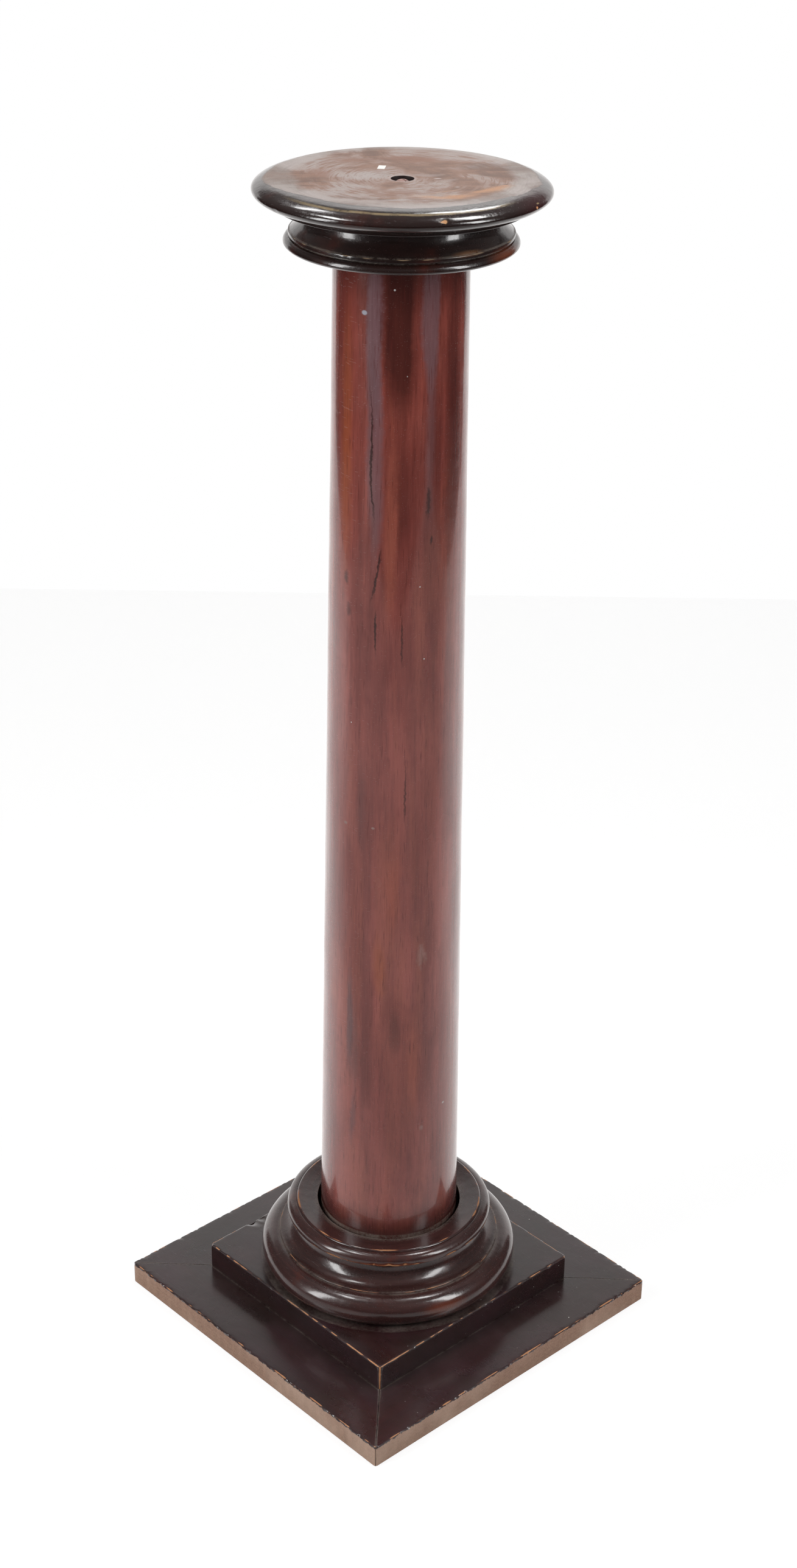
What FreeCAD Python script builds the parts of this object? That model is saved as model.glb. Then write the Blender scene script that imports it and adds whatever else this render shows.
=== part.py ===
import FreeCAD, Part
import math
import os

# Pedestal column stand: a round veneered column on a turned two-part base, a square
# plinth block and a mitred foot frame, under a turned capital and a round top plate.
# Millimetres, +Z up, origin on the floor under the middle of the foot frame.
# The frame's sides run along X and Y.

Vector = FreeCAD.Vector

# ---------------------------------------------------------------- driving dimensions

# Foot frame: four mitred boards laid flat in a square.
FRAME_SIDE = 346.0
FRAME_THICKNESS = 22.0
FRAME_BOARD_WIDTH = 92.0
FRAME_CORNER_ROUND = 3.0
FRAME_EDGE_ROUND = 1.0
MITRE_GAP = 0.5

# Loose splines glued into the frame's mitres.
SPLINE_LENGTH = 84.0
SPLINE_WIDTH = 24.0
SPLINE_THICKNESS = 4.0

# Glue blocks in the frame's inner corners, under the plinth block.
GLUE_BLOCK_LEG = 32.0
GLUE_BLOCK_HEIGHT = 19.0

# Square plinth block on the frame.
BLOCK_SIDE = 240.0
BLOCK_THICKNESS = 25.5
BLOCK_CORNER_ROUND = 2.5
BLOCK_EDGE_ROUND = 1.0

# Lower base ring, a plain torus as wide as the block, less a hair.
TORUS_INSET = 0.5
TORUS_THICKNESS = 29.0

# Upper base ring: foot fillet, scotia, nose and a slightly dished top.
SCOTIA_THICKNESS = 36.5
SCOTIA_FOOT_RADIUS = 102.5
SCOTIA_FOOT_HEIGHT = 1.4
SCOTIA_FOOT_LEDGE = 1.2
SCOTIA_THROAT_RADIUS = 84.5
SCOTIA_THROAT_HEIGHT = 18.5
NOSE_RADIUS = 95.0
NOSE_UNDERSIDE_HEIGHT = 25.3
NOSE_UNDERSIDE_WIDTH = 1.6
NOSE_LIP_ROUND = 1.0
NOSE_FACE_HEIGHT = 2.4
NOSE_SHOULDER_DROP = 1.4
NOSE_SHOULDER_GROOVE = 1.4
TOP_ARRIS_RADIUS = 85.0
TOP_DISH = 1.5
SOCKET_CLEARANCE = 2.3

# Column shaft: a hollow taper coopered from staves, wrapped in veneer.
SHAFT_LENGTH = 972.0
SHAFT_FOOT_RADIUS = 64.2
SHAFT_TOP_RADIUS = 53.7
VENEER_THICKNESS = 0.9
VENEER_SEAM = 0.3
VENEER_SEAM_ANGLE = 136.95
STAVE_COUNT = 8
STAVE_THICKNESS = 20.0
STAVE_JOINT_ANGLE = 19.25

# Plugs glued into the two ends of the hollow shaft.
TOP_PLUG_LENGTH = 95.0
TENON_RADIUS = 28.0
TENON_SETBACK = 0.5
FOOT_PLUG_LENGTH = 80.0

# Capital: bead, groove, fillet and cavetto.
CAPITAL_THICKNESS = 32.0
BEAD_RADIUS = 92.3
BEAD_DROP = 2.7
BEAD_RISE = 4.7
BEAD_LOWER_RUN = 4.0
BEAD_UPPER_RUN = 5.0
GROOVE_DEPTH = 1.1
GROOVE_HEIGHT = 1.1
FILLET_RADIUS = 88.4
FILLET_HEIGHT = 3.0
FILLET_LEDGE = 1.0
NECK_RADIUS = 76.8
CAVETTO_SECTION = ((85.2, 2.1), (83.2, 3.9), (80.9, 6.3), (79.1, 9.0), (77.9, 12.2), (77.15, 16.0))

# Round top plate with an oval nose over a small fillet.
PLATE_RADIUS = 116.6
PLATE_THICKNESS = 18.5
PLATE_FLAT_RADIUS = 97.3
PLATE_FILLET_RADIUS = 100.7
PLATE_FILLET_HEIGHT = 4.0
PLATE_FILLET_LEDGE = 0.8
COUNTERBORE_RADIUS = 9.0
COUNTERBORE_DEPTH = 5.5

# Round-headed slotted screw through the middle of the plate.
CENTRE_SCREW_RADIUS = 3.0
CENTRE_SCREW_LENGTH = 70.0
CENTRE_HEAD_RADIUS = 6.6
CENTRE_HEAD_HEIGHT = 5.0

# Countersunk wood screws, driven from below.
SCREW_RADIUS = 2.5
SCREW_HEAD_RADIUS = 5.0
SCREW_HEAD_HEIGHT = 2.8
SCREW_SINK = 0.3
FRAME_SCREW_LENGTH = 38.0
FRAME_SCREW_SPREAD = 62.0
RING_SCREW_LENGTH = 42.0
SCREW_TIP = 6.0
SLOT_WIDTH = 1.2
SLOT_DEPTH = 1.5

# Coach screw up the middle of the block into the foot of the shaft.
BOLT_RADIUS = 5.0
BOLT_LENGTH = 92.0
BOLT_HEAD_ACROSS = 16.0
BOLT_HEAD_HEIGHT = 7.0
WASHER_RADIUS = 15.0
WASHER_THICKNESS = 2.5

# Dowels, all of one stock.
DOWEL_RADIUS = 4.0
RING_DOWEL_LENGTH = 28.0
CAPITAL_DOWEL_LENGTH = 36.0
PLATE_DOWEL_LENGTH = 24.0
PLATE_DOWEL_BITE = 9.0

# Fits.
SLIP = 0.25
SCREW_FIT = 0.05
DOWEL_END_GAP = 0.5

# ---------------------------------------------------------------- levels and places

BLOCK_BOTTOM = FRAME_THICKNESS
BLOCK_TOP = BLOCK_BOTTOM + BLOCK_THICKNESS
TORUS_TOP = BLOCK_TOP + TORUS_THICKNESS
SCOTIA_TOP = TORUS_TOP + SCOTIA_THICKNESS
SHAFT_BOTTOM = BLOCK_TOP
SHAFT_TOP = SHAFT_BOTTOM + SHAFT_LENGTH
CAPITAL_TOP = SHAFT_TOP + CAPITAL_THICKNESS
PLATE_TOP = CAPITAL_TOP + PLATE_THICKNESS

FRAME_INNER = FRAME_SIDE / 2 - FRAME_BOARD_WIDTH
SOCKET_RADIUS = SHAFT_FOOT_RADIUS + SOCKET_CLEARANCE
TORUS_RADIUS = BLOCK_SIDE / 2 - TORUS_INSET
FRAME_SCREW_OUT = (FRAME_INNER + BLOCK_SIDE / 2) / 2
RING_SCREW_OUT = (SOCKET_RADIUS + TORUS_RADIUS) / 2
RING_DOWEL_OUT = (SOCKET_RADIUS + SCOTIA_THROAT_RADIUS) / 2
CAPITAL_DOWEL_OUT = SHAFT_TOP_RADIUS - VENEER_THICKNESS - STAVE_THICKNESS / 2
PLATE_DOWEL_OUT = (TENON_RADIUS + NECK_RADIUS) / 2
STAVE_STEP = 360.0 / STAVE_COUNT
Z_AXIS = Vector(0, 0, 1)
ORIGIN = Vector(0, 0, 0)


def shaft_radius(z):
    """Outer radius of the veneered shaft at a height."""
    share = (z - SHAFT_BOTTOM) / SHAFT_LENGTH
    return SHAFT_FOOT_RADIUS + share * (SHAFT_TOP_RADIUS - SHAFT_FOOT_RADIUS)


def hollow_half_width(z):
    """Distance from the axis to the flat inner faces of the staves at a height."""
    return shaft_radius(z) - VENEER_THICKNESS - STAVE_THICKNESS


# ---------------------------------------------------------------- drawing helpers

def at(radius, z):
    """A point of a turned profile, drawn in the XZ plane."""
    return Vector(radius, 0, z)


def quarter(start, corner, end):
    """A quarter of an oval between two points, tangent to the lines through the corner."""
    curve = Part.BezierCurve()
    curve.setPoles([start, corner, end])
    curve.setWeight(2, math.sqrt(0.5))
    return curve.toShape()


def through(points):
    """A smooth curve through a list of points."""
    curve = Part.BSplineCurve()
    curve.interpolate(points)
    return curve.toShape()


def outline(*stretches):
    """Closes a chain of points and edges into a profile, with straight lines between."""
    edges = []
    first = None
    last = None
    for item in stretches:
        is_edge = isinstance(item, Part.Shape)
        head = item.firstVertex(True).Point if is_edge else item
        tail = item.lastVertex(True).Point if is_edge else item
        if last is not None and last.distanceToPoint(head) > 1e-6:
            edges.append(Part.makeLine(last, head))
        if is_edge:
            edges.append(item)
        first = head if first is None else first
        last = tail
    if last.distanceToPoint(first) > 1e-6:
        edges.append(Part.makeLine(last, first))
    return Part.Wire(edges)


def turned(*stretches):
    """A solid turned on the Z axis from a closed profile."""
    return Part.Face(outline(*stretches)).revolve(ORIGIN, Z_AXIS, 360)


def polar(radius, degrees, z):
    """A point at a radius and angle round the Z axis."""
    angle = math.radians(degrees)
    return Vector(radius * math.cos(angle), radius * math.sin(angle), z)


def turned_about_z(shape, degrees):
    """A copy of a shape turned round the Z axis."""
    copy = shape.copy()
    copy.rotate(ORIGIN, Z_AXIS, degrees)
    return copy


def frustum(lower, upper):
    """A solid between two polygons with the same number of corners, with flat sides."""
    count = len(lower)
    faces = [Part.Face(Part.makePolygon(lower + [lower[0]]))]
    faces.append(Part.Face(Part.makePolygon(upper + [upper[0]])))
    for i in range(count):
        j = (i + 1) % count
        corners = [lower[i], lower[j], upper[j], upper[i], lower[i]]
        faces.append(Part.Face(Part.makePolygon(corners)))
    return Part.Solid(Part.Shell(faces))


def hollow_polygon(z, inset):
    """Corners of the shaft's many-sided hollow at a height, drawn in by inset."""
    radius = (hollow_half_width(z) - inset) / math.cos(math.radians(STAVE_STEP / 2))
    corners = []
    for i in range(STAVE_COUNT):
        corners.append(polar(radius, STAVE_JOINT_ANGLE + i * STAVE_STEP, z))
    return corners


def rounded(shape, radius, chosen):
    """Rounds the edges of a shape that the test picks."""
    edges = [edge for edge in shape.Edges if chosen(edge)]
    return shape.makeFillet(radius, edges)


def is_upright(edge):
    """True for a vertical edge."""
    box = edge.BoundBox
    return box.ZLength > max(box.XLength, box.YLength)


def is_rim(edge, half_side, z):
    """True for an edge of a square's rim at a height, with its rounded corners."""
    box = edge.BoundBox
    reach = max(abs(box.XMin), abs(box.XMax), abs(box.YMin), abs(box.YMax))
    return abs(box.ZMin - z) < 1e-3 and abs(box.ZMax - z) < 1e-3 and abs(reach - half_side) < 1e-3


def square_slab(side, bottom, thickness, corner_round):
    """A flat square board centred on the axis, with rounded upright corners."""
    slab = Part.makeBox(side, side, thickness, Vector(-side / 2, -side / 2, bottom))
    return rounded(slab, corner_round, is_upright)


def dowel(place, length, gap=0.0):
    """An upright dowel that starts at a place; gap gives the hole that it goes in."""
    end_gap = DOWEL_END_GAP if gap else 0.0
    start = place - Z_AXIS * end_gap
    return Part.makeCylinder(DOWEL_RADIUS + gap, length + 2 * end_gap, start)


def screw_shank(place, direction, radius, length, gap):
    """A screw's shank with a tapered tip, drawn from under its head."""
    body = Part.makeCylinder(radius + gap, length - SCREW_TIP, place, direction)
    tip_start = place + direction * (length - SCREW_TIP)
    tip = Part.makeCone(radius + gap, (radius + gap) / 4, SCREW_TIP + gap, tip_start, direction)
    return body.fuse(tip)


def driver_slot(head_face, direction, head_radius, depth):
    """The straight slot across a screw head, cut from its face inwards."""
    length = 4 * head_radius
    corner = Vector(-length / 2, -SLOT_WIDTH / 2, 0)
    slot = Part.makeBox(length, SLOT_WIDTH, depth, corner)
    if direction.z > 0:
        slot.translate(head_face)
    else:
        slot.translate(head_face - Z_AXIS * depth)
    return slot


def countersunk_screw(place, length, gap=0.0):
    """A slotted wood screw driven upwards from a face; gap gives the hole that it fills."""
    seat = place if gap else place + Z_AXIS * SCREW_SINK
    sink = SCREW_SINK if gap else 0.0
    head_start = seat + Z_AXIS * sink
    head = Part.makeCone(SCREW_HEAD_RADIUS + gap, SCREW_RADIUS + gap, SCREW_HEAD_HEIGHT, head_start, Z_AXIS)
    shank_start = head_start + Z_AXIS * SCREW_HEAD_HEIGHT
    shank = screw_shank(shank_start, Z_AXIS, SCREW_RADIUS, length - SCREW_HEAD_HEIGHT, gap)
    screw = head.fuse(shank)
    if gap:
        mouth = Part.makeCylinder(SCREW_HEAD_RADIUS + gap, sink, seat, Z_AXIS)
        return screw.fuse(mouth)
    return screw.cut(driver_slot(head_start, Z_AXIS, SCREW_HEAD_RADIUS, SLOT_DEPTH))


def cut_all(shape, tools):
    """Cuts every tool out of a shape."""
    for tool in tools:
        shape = shape.cut(tool)
    return shape


# ---------------------------------------------------------------- fasteners and dowels

def frame_screw_places():
    """Two screws under each frame board, on the middle line of its lap with the block."""
    places = []
    for side in range(4):
        for offset in (-FRAME_SCREW_SPREAD, FRAME_SCREW_SPREAD):
            place = Vector(FRAME_SCREW_OUT, offset, 0)
            spin = FreeCAD.Rotation(Z_AXIS, 90 * side)
            places.append(spin.multVec(place))
    return places


def ring_screw_places():
    """Four screws up through the block into the torus ring."""
    return [polar(RING_SCREW_OUT, 90 * i, BLOCK_BOTTOM) for i in range(4)]


def ring_dowel_places():
    """Four dowels between the two base rings."""
    start = TORUS_TOP - RING_DOWEL_LENGTH / 2
    return [polar(RING_DOWEL_OUT, 45 + 90 * i, start) for i in range(4)]


def capital_dowel_places():
    """A dowel between every second stave and the capital."""
    start = SHAFT_TOP - CAPITAL_DOWEL_LENGTH / 2
    places = []
    for i in range(0, STAVE_COUNT, 2):
        angle = STAVE_JOINT_ANGLE + (i + 0.5) * STAVE_STEP
        places.append(polar(CAPITAL_DOWEL_OUT, angle, start))
    return places


def plate_dowel_places():
    """Three dowels that keep the plate from turning on the capital."""
    start = CAPITAL_TOP + PLATE_DOWEL_BITE - PLATE_DOWEL_LENGTH
    return [polar(PLATE_DOWEL_OUT, 120 * i, start) for i in range(3)]


def make_dowels(places, length):
    """A set of equal dowels as separate solids in one group."""
    return Part.makeCompound([dowel(place, length) for place in places])


def dowel_holes(places, length):
    """The holes that a set of dowels goes in."""
    return [dowel(place, length, SLIP / 2) for place in places]


def make_screws(places, length):
    """A set of equal countersunk screws as separate solids in one group."""
    return Part.makeCompound([countersunk_screw(place, length) for place in places])


def screw_holes(places, length):
    """The holes that a set of countersunk screws fills."""
    return [countersunk_screw(place, length, SCREW_FIT) for place in places]


def centre_screw(gap=0.0):
    """The round-headed screw in the plate's counterbore; gap gives the hole in the wood."""
    seat = Vector(0, 0, PLATE_TOP - COUNTERBORE_DEPTH)
    down = Vector(0, 0, -1)
    shank = screw_shank(seat, down, CENTRE_SCREW_RADIUS, CENTRE_SCREW_LENGTH, gap)
    if gap:
        return shank
    top = seat.z + CENTRE_HEAD_HEIGHT
    dome = quarter(at(CENTRE_HEAD_RADIUS, seat.z), at(CENTRE_HEAD_RADIUS, top), at(0, top))
    head = turned(at(0, seat.z), dome)
    slot = driver_slot(Vector(0, 0, top), down, CENTRE_HEAD_RADIUS, SLOT_DEPTH)
    return head.fuse(shank).cut(slot)


def shaft_bolt(gap=0.0):
    """The coach screw under the block; gap gives the hole that it fills in the foot plug."""
    head_top = BLOCK_BOTTOM - WASHER_THICKNESS
    shank = screw_shank(Vector(0, 0, head_top), Z_AXIS, BOLT_RADIUS, BOLT_LENGTH, gap)
    if gap:
        return shank
    corners = []
    corner_radius = BOLT_HEAD_ACROSS / 2 / math.cos(math.radians(30))
    for i in range(7):
        corners.append(polar(corner_radius, 60 * i, head_top - BOLT_HEAD_HEIGHT))
    head = Part.Face(Part.makePolygon(corners)).extrude(Z_AXIS * BOLT_HEAD_HEIGHT)
    return head.fuse(shank)


def shaft_bolt_washer():
    """The flat washer between the coach screw's head and the block."""
    bottom = Vector(0, 0, BLOCK_BOTTOM - WASHER_THICKNESS)
    disc = Part.makeCylinder(WASHER_RADIUS, WASHER_THICKNESS, bottom)
    return disc.cut(Part.makeCylinder(BOLT_RADIUS + SLIP, WASHER_THICKNESS, bottom))


# ---------------------------------------------------------------- foot frame and block

def spline(corner, gap=0.0):
    """A loose tongue across one mitre; gap gives the slot that it is glued in."""
    length = SPLINE_LENGTH + 2 * gap
    width = SPLINE_WIDTH + 2 * gap
    thickness = SPLINE_THICKNESS + 2 * gap
    middle = (FRAME_SIDE / 2 + FRAME_INNER) / 2 * math.sqrt(2)
    bottom = FRAME_THICKNESS / 2 - thickness / 2
    tongue = Part.makeBox(length, width, thickness, Vector(middle - length / 2, -width / 2, bottom))
    return turned_about_z(tongue, 45 + 90 * corner)


def mitre_wedge(side):
    """The prism that cuts one board out of the square frame, on the +X side turned by 90s."""
    reach = FRAME_SIDE
    gap = MITRE_GAP / 2 * math.sqrt(2)
    corners = [Vector(gap, 0, -1), Vector(reach + gap, -reach, -1), Vector(reach + gap, reach, -1)]
    wedge = Part.Face(Part.makePolygon(corners + [corners[0]]))
    prism = wedge.extrude(Z_AXIS * (FRAME_THICKNESS + 2))
    return turned_about_z(prism, 90 * side)


def make_frame():
    """The whole foot frame with its rounded edges, before it is parted at the mitres."""
    frame = square_slab(FRAME_SIDE, 0, FRAME_THICKNESS, FRAME_CORNER_ROUND)
    for level in (0, FRAME_THICKNESS):
        frame = rounded(frame, FRAME_EDGE_ROUND, lambda edge: is_rim(edge, FRAME_SIDE / 2, level))
    inner = FRAME_INNER * 2
    hole = Part.makeBox(inner, inner, FRAME_THICKNESS, Vector(-FRAME_INNER, -FRAME_INNER, 0))
    frame = frame.cut(hole)
    frame = cut_all(frame, [spline(corner, SLIP / 2) for corner in range(4)])
    return cut_all(frame, screw_holes(frame_screw_places(), FRAME_SCREW_LENGTH))


def make_glue_block(corner):
    """A three-cornered block glued in one inner corner of the frame, under the block."""
    bottom = BLOCK_BOTTOM - GLUE_BLOCK_HEIGHT
    inner = FRAME_INNER
    corners = [Vector(inner, inner, bottom), Vector(inner - GLUE_BLOCK_LEG, inner, bottom)]
    corners.append(Vector(inner, inner - GLUE_BLOCK_LEG, bottom))
    block = Part.Face(Part.makePolygon(corners + [corners[0]])).extrude(Z_AXIS * GLUE_BLOCK_HEIGHT)
    return turned_about_z(block, 90 * corner)


def make_plinth_block():
    """The square block on the frame, holed for the screws and the shaft's bolt."""
    block = square_slab(BLOCK_SIDE, BLOCK_BOTTOM, BLOCK_THICKNESS, BLOCK_CORNER_ROUND)
    block = rounded(block, BLOCK_EDGE_ROUND, lambda edge: is_rim(edge, BLOCK_SIDE / 2, BLOCK_TOP))
    bottom = Vector(0, 0, BLOCK_BOTTOM)
    block = block.cut(Part.makeCylinder(BOLT_RADIUS + SLIP, BLOCK_THICKNESS, bottom))
    block = cut_all(block, screw_holes(frame_screw_places(), FRAME_SCREW_LENGTH))
    return cut_all(block, screw_holes(ring_screw_places(), RING_SCREW_LENGTH))


# ---------------------------------------------------------------- base rings

def make_torus_ring():
    """The lower base ring, half round on its edge and bored for the shaft."""
    tube_centre = TORUS_RADIUS - TORUS_THICKNESS / 2
    middle = (BLOCK_TOP + TORUS_TOP) / 2
    nose = Part.Arc(at(tube_centre, BLOCK_TOP), at(TORUS_RADIUS, middle), at(tube_centre, TORUS_TOP))
    ring = turned(at(SOCKET_RADIUS, BLOCK_TOP), nose.toShape(), at(SOCKET_RADIUS, TORUS_TOP))
    ring = cut_all(ring, screw_holes(ring_screw_places(), RING_SCREW_LENGTH))
    return cut_all(ring, dowel_holes(ring_dowel_places(), RING_DOWEL_LENGTH))


def make_scotia_ring():
    """The upper base ring: foot fillet, hollow scotia, nose, shoulder and dished top."""
    foot_top = TORUS_TOP + SCOTIA_FOOT_HEIGHT
    throat = TORUS_TOP + SCOTIA_THROAT_HEIGHT
    underside = TORUS_TOP + NOSE_UNDERSIDE_HEIGHT
    underside_out = NOSE_RADIUS - NOSE_LIP_ROUND
    underside_in = underside_out - NOSE_UNDERSIDE_WIDTH
    face_bottom = underside + NOSE_LIP_ROUND
    face_top = face_bottom + NOSE_FACE_HEIGHT
    shoulder = SCOTIA_TOP - NOSE_SHOULDER_DROP
    shoulder_in = TOP_ARRIS_RADIUS + NOSE_SHOULDER_GROOVE
    sweep_start = at(SCOTIA_FOOT_RADIUS - SCOTIA_FOOT_LEDGE, foot_top)
    lower = quarter(sweep_start, at(SCOTIA_THROAT_RADIUS, foot_top), at(SCOTIA_THROAT_RADIUS, throat))
    upper_corner = at(SCOTIA_THROAT_RADIUS, underside)
    upper = quarter(at(SCOTIA_THROAT_RADIUS, throat), upper_corner, at(underside_in, underside))
    lip = quarter(at(underside_out, underside), at(NOSE_RADIUS, underside), at(NOSE_RADIUS, face_bottom))
    crown = quarter(at(NOSE_RADIUS, face_top), at(NOSE_RADIUS, shoulder), at(shoulder_in, shoulder))
    ring = turned(
        at(SOCKET_RADIUS, TORUS_TOP),
        at(SCOTIA_FOOT_RADIUS, TORUS_TOP),
        at(SCOTIA_FOOT_RADIUS, foot_top),
        lower,
        upper,
        lip,
        crown,
        at(TOP_ARRIS_RADIUS, shoulder),
        at(TOP_ARRIS_RADIUS, SCOTIA_TOP),
        at(SOCKET_RADIUS, SCOTIA_TOP - TOP_DISH),
    )
    return cut_all(ring, dowel_holes(ring_dowel_places(), RING_DOWEL_LENGTH))


# ---------------------------------------------------------------- shaft

def cone_between(bottom, top, inset):
    """A solid taper that follows the shaft's surface, drawn in by inset."""
    lower = shaft_radius(bottom) - inset
    upper = shaft_radius(top) - inset
    return Part.makeCone(lower, upper, top - bottom, Vector(0, 0, bottom))


def make_staves():
    """The staves of the hollow core, each a taper with one flat inner face."""
    body = cone_between(SHAFT_BOTTOM, SHAFT_TOP, VENEER_THICKNESS)
    hollow = frustum(hollow_polygon(SHAFT_BOTTOM, 0), hollow_polygon(SHAFT_TOP, 0))
    body = body.cut(hollow)
    body = cut_all(body, dowel_holes(capital_dowel_places(), CAPITAL_DOWEL_LENGTH))
    reach = 2 * SHAFT_FOOT_RADIUS
    staves = []
    for i in range(STAVE_COUNT):
        start = STAVE_JOINT_ANGLE + i * STAVE_STEP
        corners = [Vector(0, 0, SHAFT_BOTTOM), polar(reach, start, SHAFT_BOTTOM)]
        corners.append(polar(reach, start + STAVE_STEP, SHAFT_BOTTOM))
        wedge = Part.Face(Part.makePolygon(corners + [corners[0]]))
        staves.append(body.common(wedge.extrude(Z_AXIS * SHAFT_LENGTH)))
    return staves


def make_veneer():
    """The veneer wrapped round the staves, open by a hair at its butt seam."""
    skin = cone_between(SHAFT_BOTTOM, SHAFT_TOP, 0)
    skin = skin.cut(cone_between(SHAFT_BOTTOM, SHAFT_TOP, VENEER_THICKNESS))
    corner = Vector(0, -VENEER_SEAM / 2, SHAFT_BOTTOM)
    seam = Part.makeBox(2 * SHAFT_FOOT_RADIUS, VENEER_SEAM, SHAFT_LENGTH, corner)
    return skin.cut(turned_about_z(seam, VENEER_SEAM_ANGLE))


def plug(bottom, top):
    """A many-sided plug that fits the shaft's hollow between two heights."""
    return frustum(hollow_polygon(bottom, SLIP), hollow_polygon(top, SLIP))


def make_shaft_top_plug():
    """The plug in the shaft's top end, with the round tenon that carries the capital."""
    body = plug(SHAFT_TOP - TOP_PLUG_LENGTH, SHAFT_TOP)
    tenon_length = CAPITAL_THICKNESS - TENON_SETBACK
    tenon = Part.makeCylinder(TENON_RADIUS, tenon_length, Vector(0, 0, SHAFT_TOP))
    return body.fuse(tenon).cut(centre_screw(SCREW_FIT))


def make_shaft_foot_plug():
    """The plug in the shaft's foot that the coach screw bites into."""
    return plug(SHAFT_BOTTOM, SHAFT_BOTTOM + FOOT_PLUG_LENGTH).cut(shaft_bolt(SCREW_FIT))


# ---------------------------------------------------------------- capital and plate

def make_capital():
    """The turned capital: bead, groove, fillet and a long cavetto up to the plate."""
    equator = SHAFT_TOP + BEAD_DROP
    bead_top = equator + BEAD_RISE
    groove_top = bead_top + GROOVE_HEIGHT
    fillet_top = groove_top + FILLET_HEIGHT
    bead_in = BEAD_RADIUS - BEAD_UPPER_RUN
    bore = TENON_RADIUS + SLIP
    bead_under = at(BEAD_RADIUS - BEAD_LOWER_RUN, SHAFT_TOP)
    under = quarter(bead_under, at(BEAD_RADIUS, SHAFT_TOP), at(BEAD_RADIUS, equator))
    over = quarter(at(BEAD_RADIUS, equator), at(BEAD_RADIUS, bead_top), at(bead_in, bead_top))
    hollow = [at(FILLET_RADIUS - FILLET_LEDGE, fillet_top)]
    hollow.extend(at(radius, fillet_top + rise) for radius, rise in CAVETTO_SECTION)
    hollow.append(at(NECK_RADIUS, CAPITAL_TOP))
    cavetto = through(hollow)
    capital = turned(
        at(bore, SHAFT_TOP),
        under,
        over,
        at(bead_in - GROOVE_DEPTH, bead_top),
        at(bead_in - GROOVE_DEPTH, groove_top),
        at(FILLET_RADIUS, groove_top),
        at(FILLET_RADIUS, fillet_top),
        cavetto,
        at(bore, CAPITAL_TOP),
    )
    capital = cut_all(capital, dowel_holes(capital_dowel_places(), CAPITAL_DOWEL_LENGTH))
    return cut_all(capital, dowel_holes(plate_dowel_places(), PLATE_DOWEL_LENGTH))


def make_top_plate():
    """The round plate: oval nose over a small fillet, and the screw's counterbore."""
    nose_bottom = CAPITAL_TOP + PLATE_FILLET_HEIGHT
    equator = (nose_bottom + PLATE_TOP) / 2
    nose_in = PLATE_FILLET_RADIUS + PLATE_FILLET_LEDGE
    seat = PLATE_TOP - COUNTERBORE_DEPTH
    hole = CENTRE_SCREW_RADIUS + SLIP
    under = quarter(at(nose_in, nose_bottom), at(PLATE_RADIUS, nose_bottom), at(PLATE_RADIUS, equator))
    over = quarter(at(PLATE_RADIUS, equator), at(PLATE_RADIUS, PLATE_TOP), at(PLATE_FLAT_RADIUS, PLATE_TOP))
    plate = turned(
        at(hole, CAPITAL_TOP),
        at(PLATE_FILLET_RADIUS, CAPITAL_TOP),
        at(PLATE_FILLET_RADIUS, nose_bottom),
        under,
        over,
        at(COUNTERBORE_RADIUS, PLATE_TOP),
        at(COUNTERBORE_RADIUS, seat),
        at(hole, seat),
    )
    return cut_all(plate, dowel_holes(plate_dowel_places(), PLATE_DOWEL_LENGTH))


# ---------------------------------------------------------------- assembly

def save(name, shape):
    """Writes one node's STEP file after checking its solids."""
    for solid in shape.Solids:
        if not solid.isValid() or solid.Volume <= 0:
            raise ValueError("bad solid in " + name)
    if not shape.Solids:
        raise ValueError("no solid in " + name)
    shape.exportStep("parts/" + name + ".step")
    print(name, len(shape.Solids), round(shape.Volume))


def build():
    """Makes and writes every piece, from the floor up."""
    os.makedirs("parts", exist_ok=True)
    frame = make_frame()
    for side, name in enumerate(("right", "back", "left", "front")):
        save("frame_board_" + name, frame.common(mitre_wedge(side)))
    for corner, name in enumerate(("back_right", "back_left", "front_left", "front_right")):
        save("mitre_spline_" + name, spline(corner))
        save("glue_block_" + name, make_glue_block(corner))
    save("frame_screws", make_screws(frame_screw_places(), FRAME_SCREW_LENGTH))
    save("plinth_block", make_plinth_block())
    save("base_ring_screws", make_screws(ring_screw_places(), RING_SCREW_LENGTH))
    save("base_torus_ring", make_torus_ring())
    save("base_ring_dowels", make_dowels(ring_dowel_places(), RING_DOWEL_LENGTH))
    save("base_scotia_ring", make_scotia_ring())
    save("shaft_bolt", shaft_bolt())
    save("shaft_bolt_washer", shaft_bolt_washer())
    save("shaft_foot_plug", make_shaft_foot_plug())
    for number, stave in enumerate(make_staves(), start=1):
        save("shaft_stave_%d" % number, stave)
    save("shaft_veneer", make_veneer())
    save("shaft_top_plug", make_shaft_top_plug())
    save("capital_dowels", make_dowels(capital_dowel_places(), CAPITAL_DOWEL_LENGTH))
    save("capital", make_capital())
    save("plate_dowels", make_dowels(plate_dowel_places(), PLATE_DOWEL_LENGTH))
    save("top_plate", make_top_plate())
    save("centre_screw", centre_screw())


build()
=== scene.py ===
"""Looks of a turned pedestal column stand: a round top on a veneered column and a square stepped foot."""

import math

import bpy
import numpy as np
from mathutils import Matrix, Vector


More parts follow.
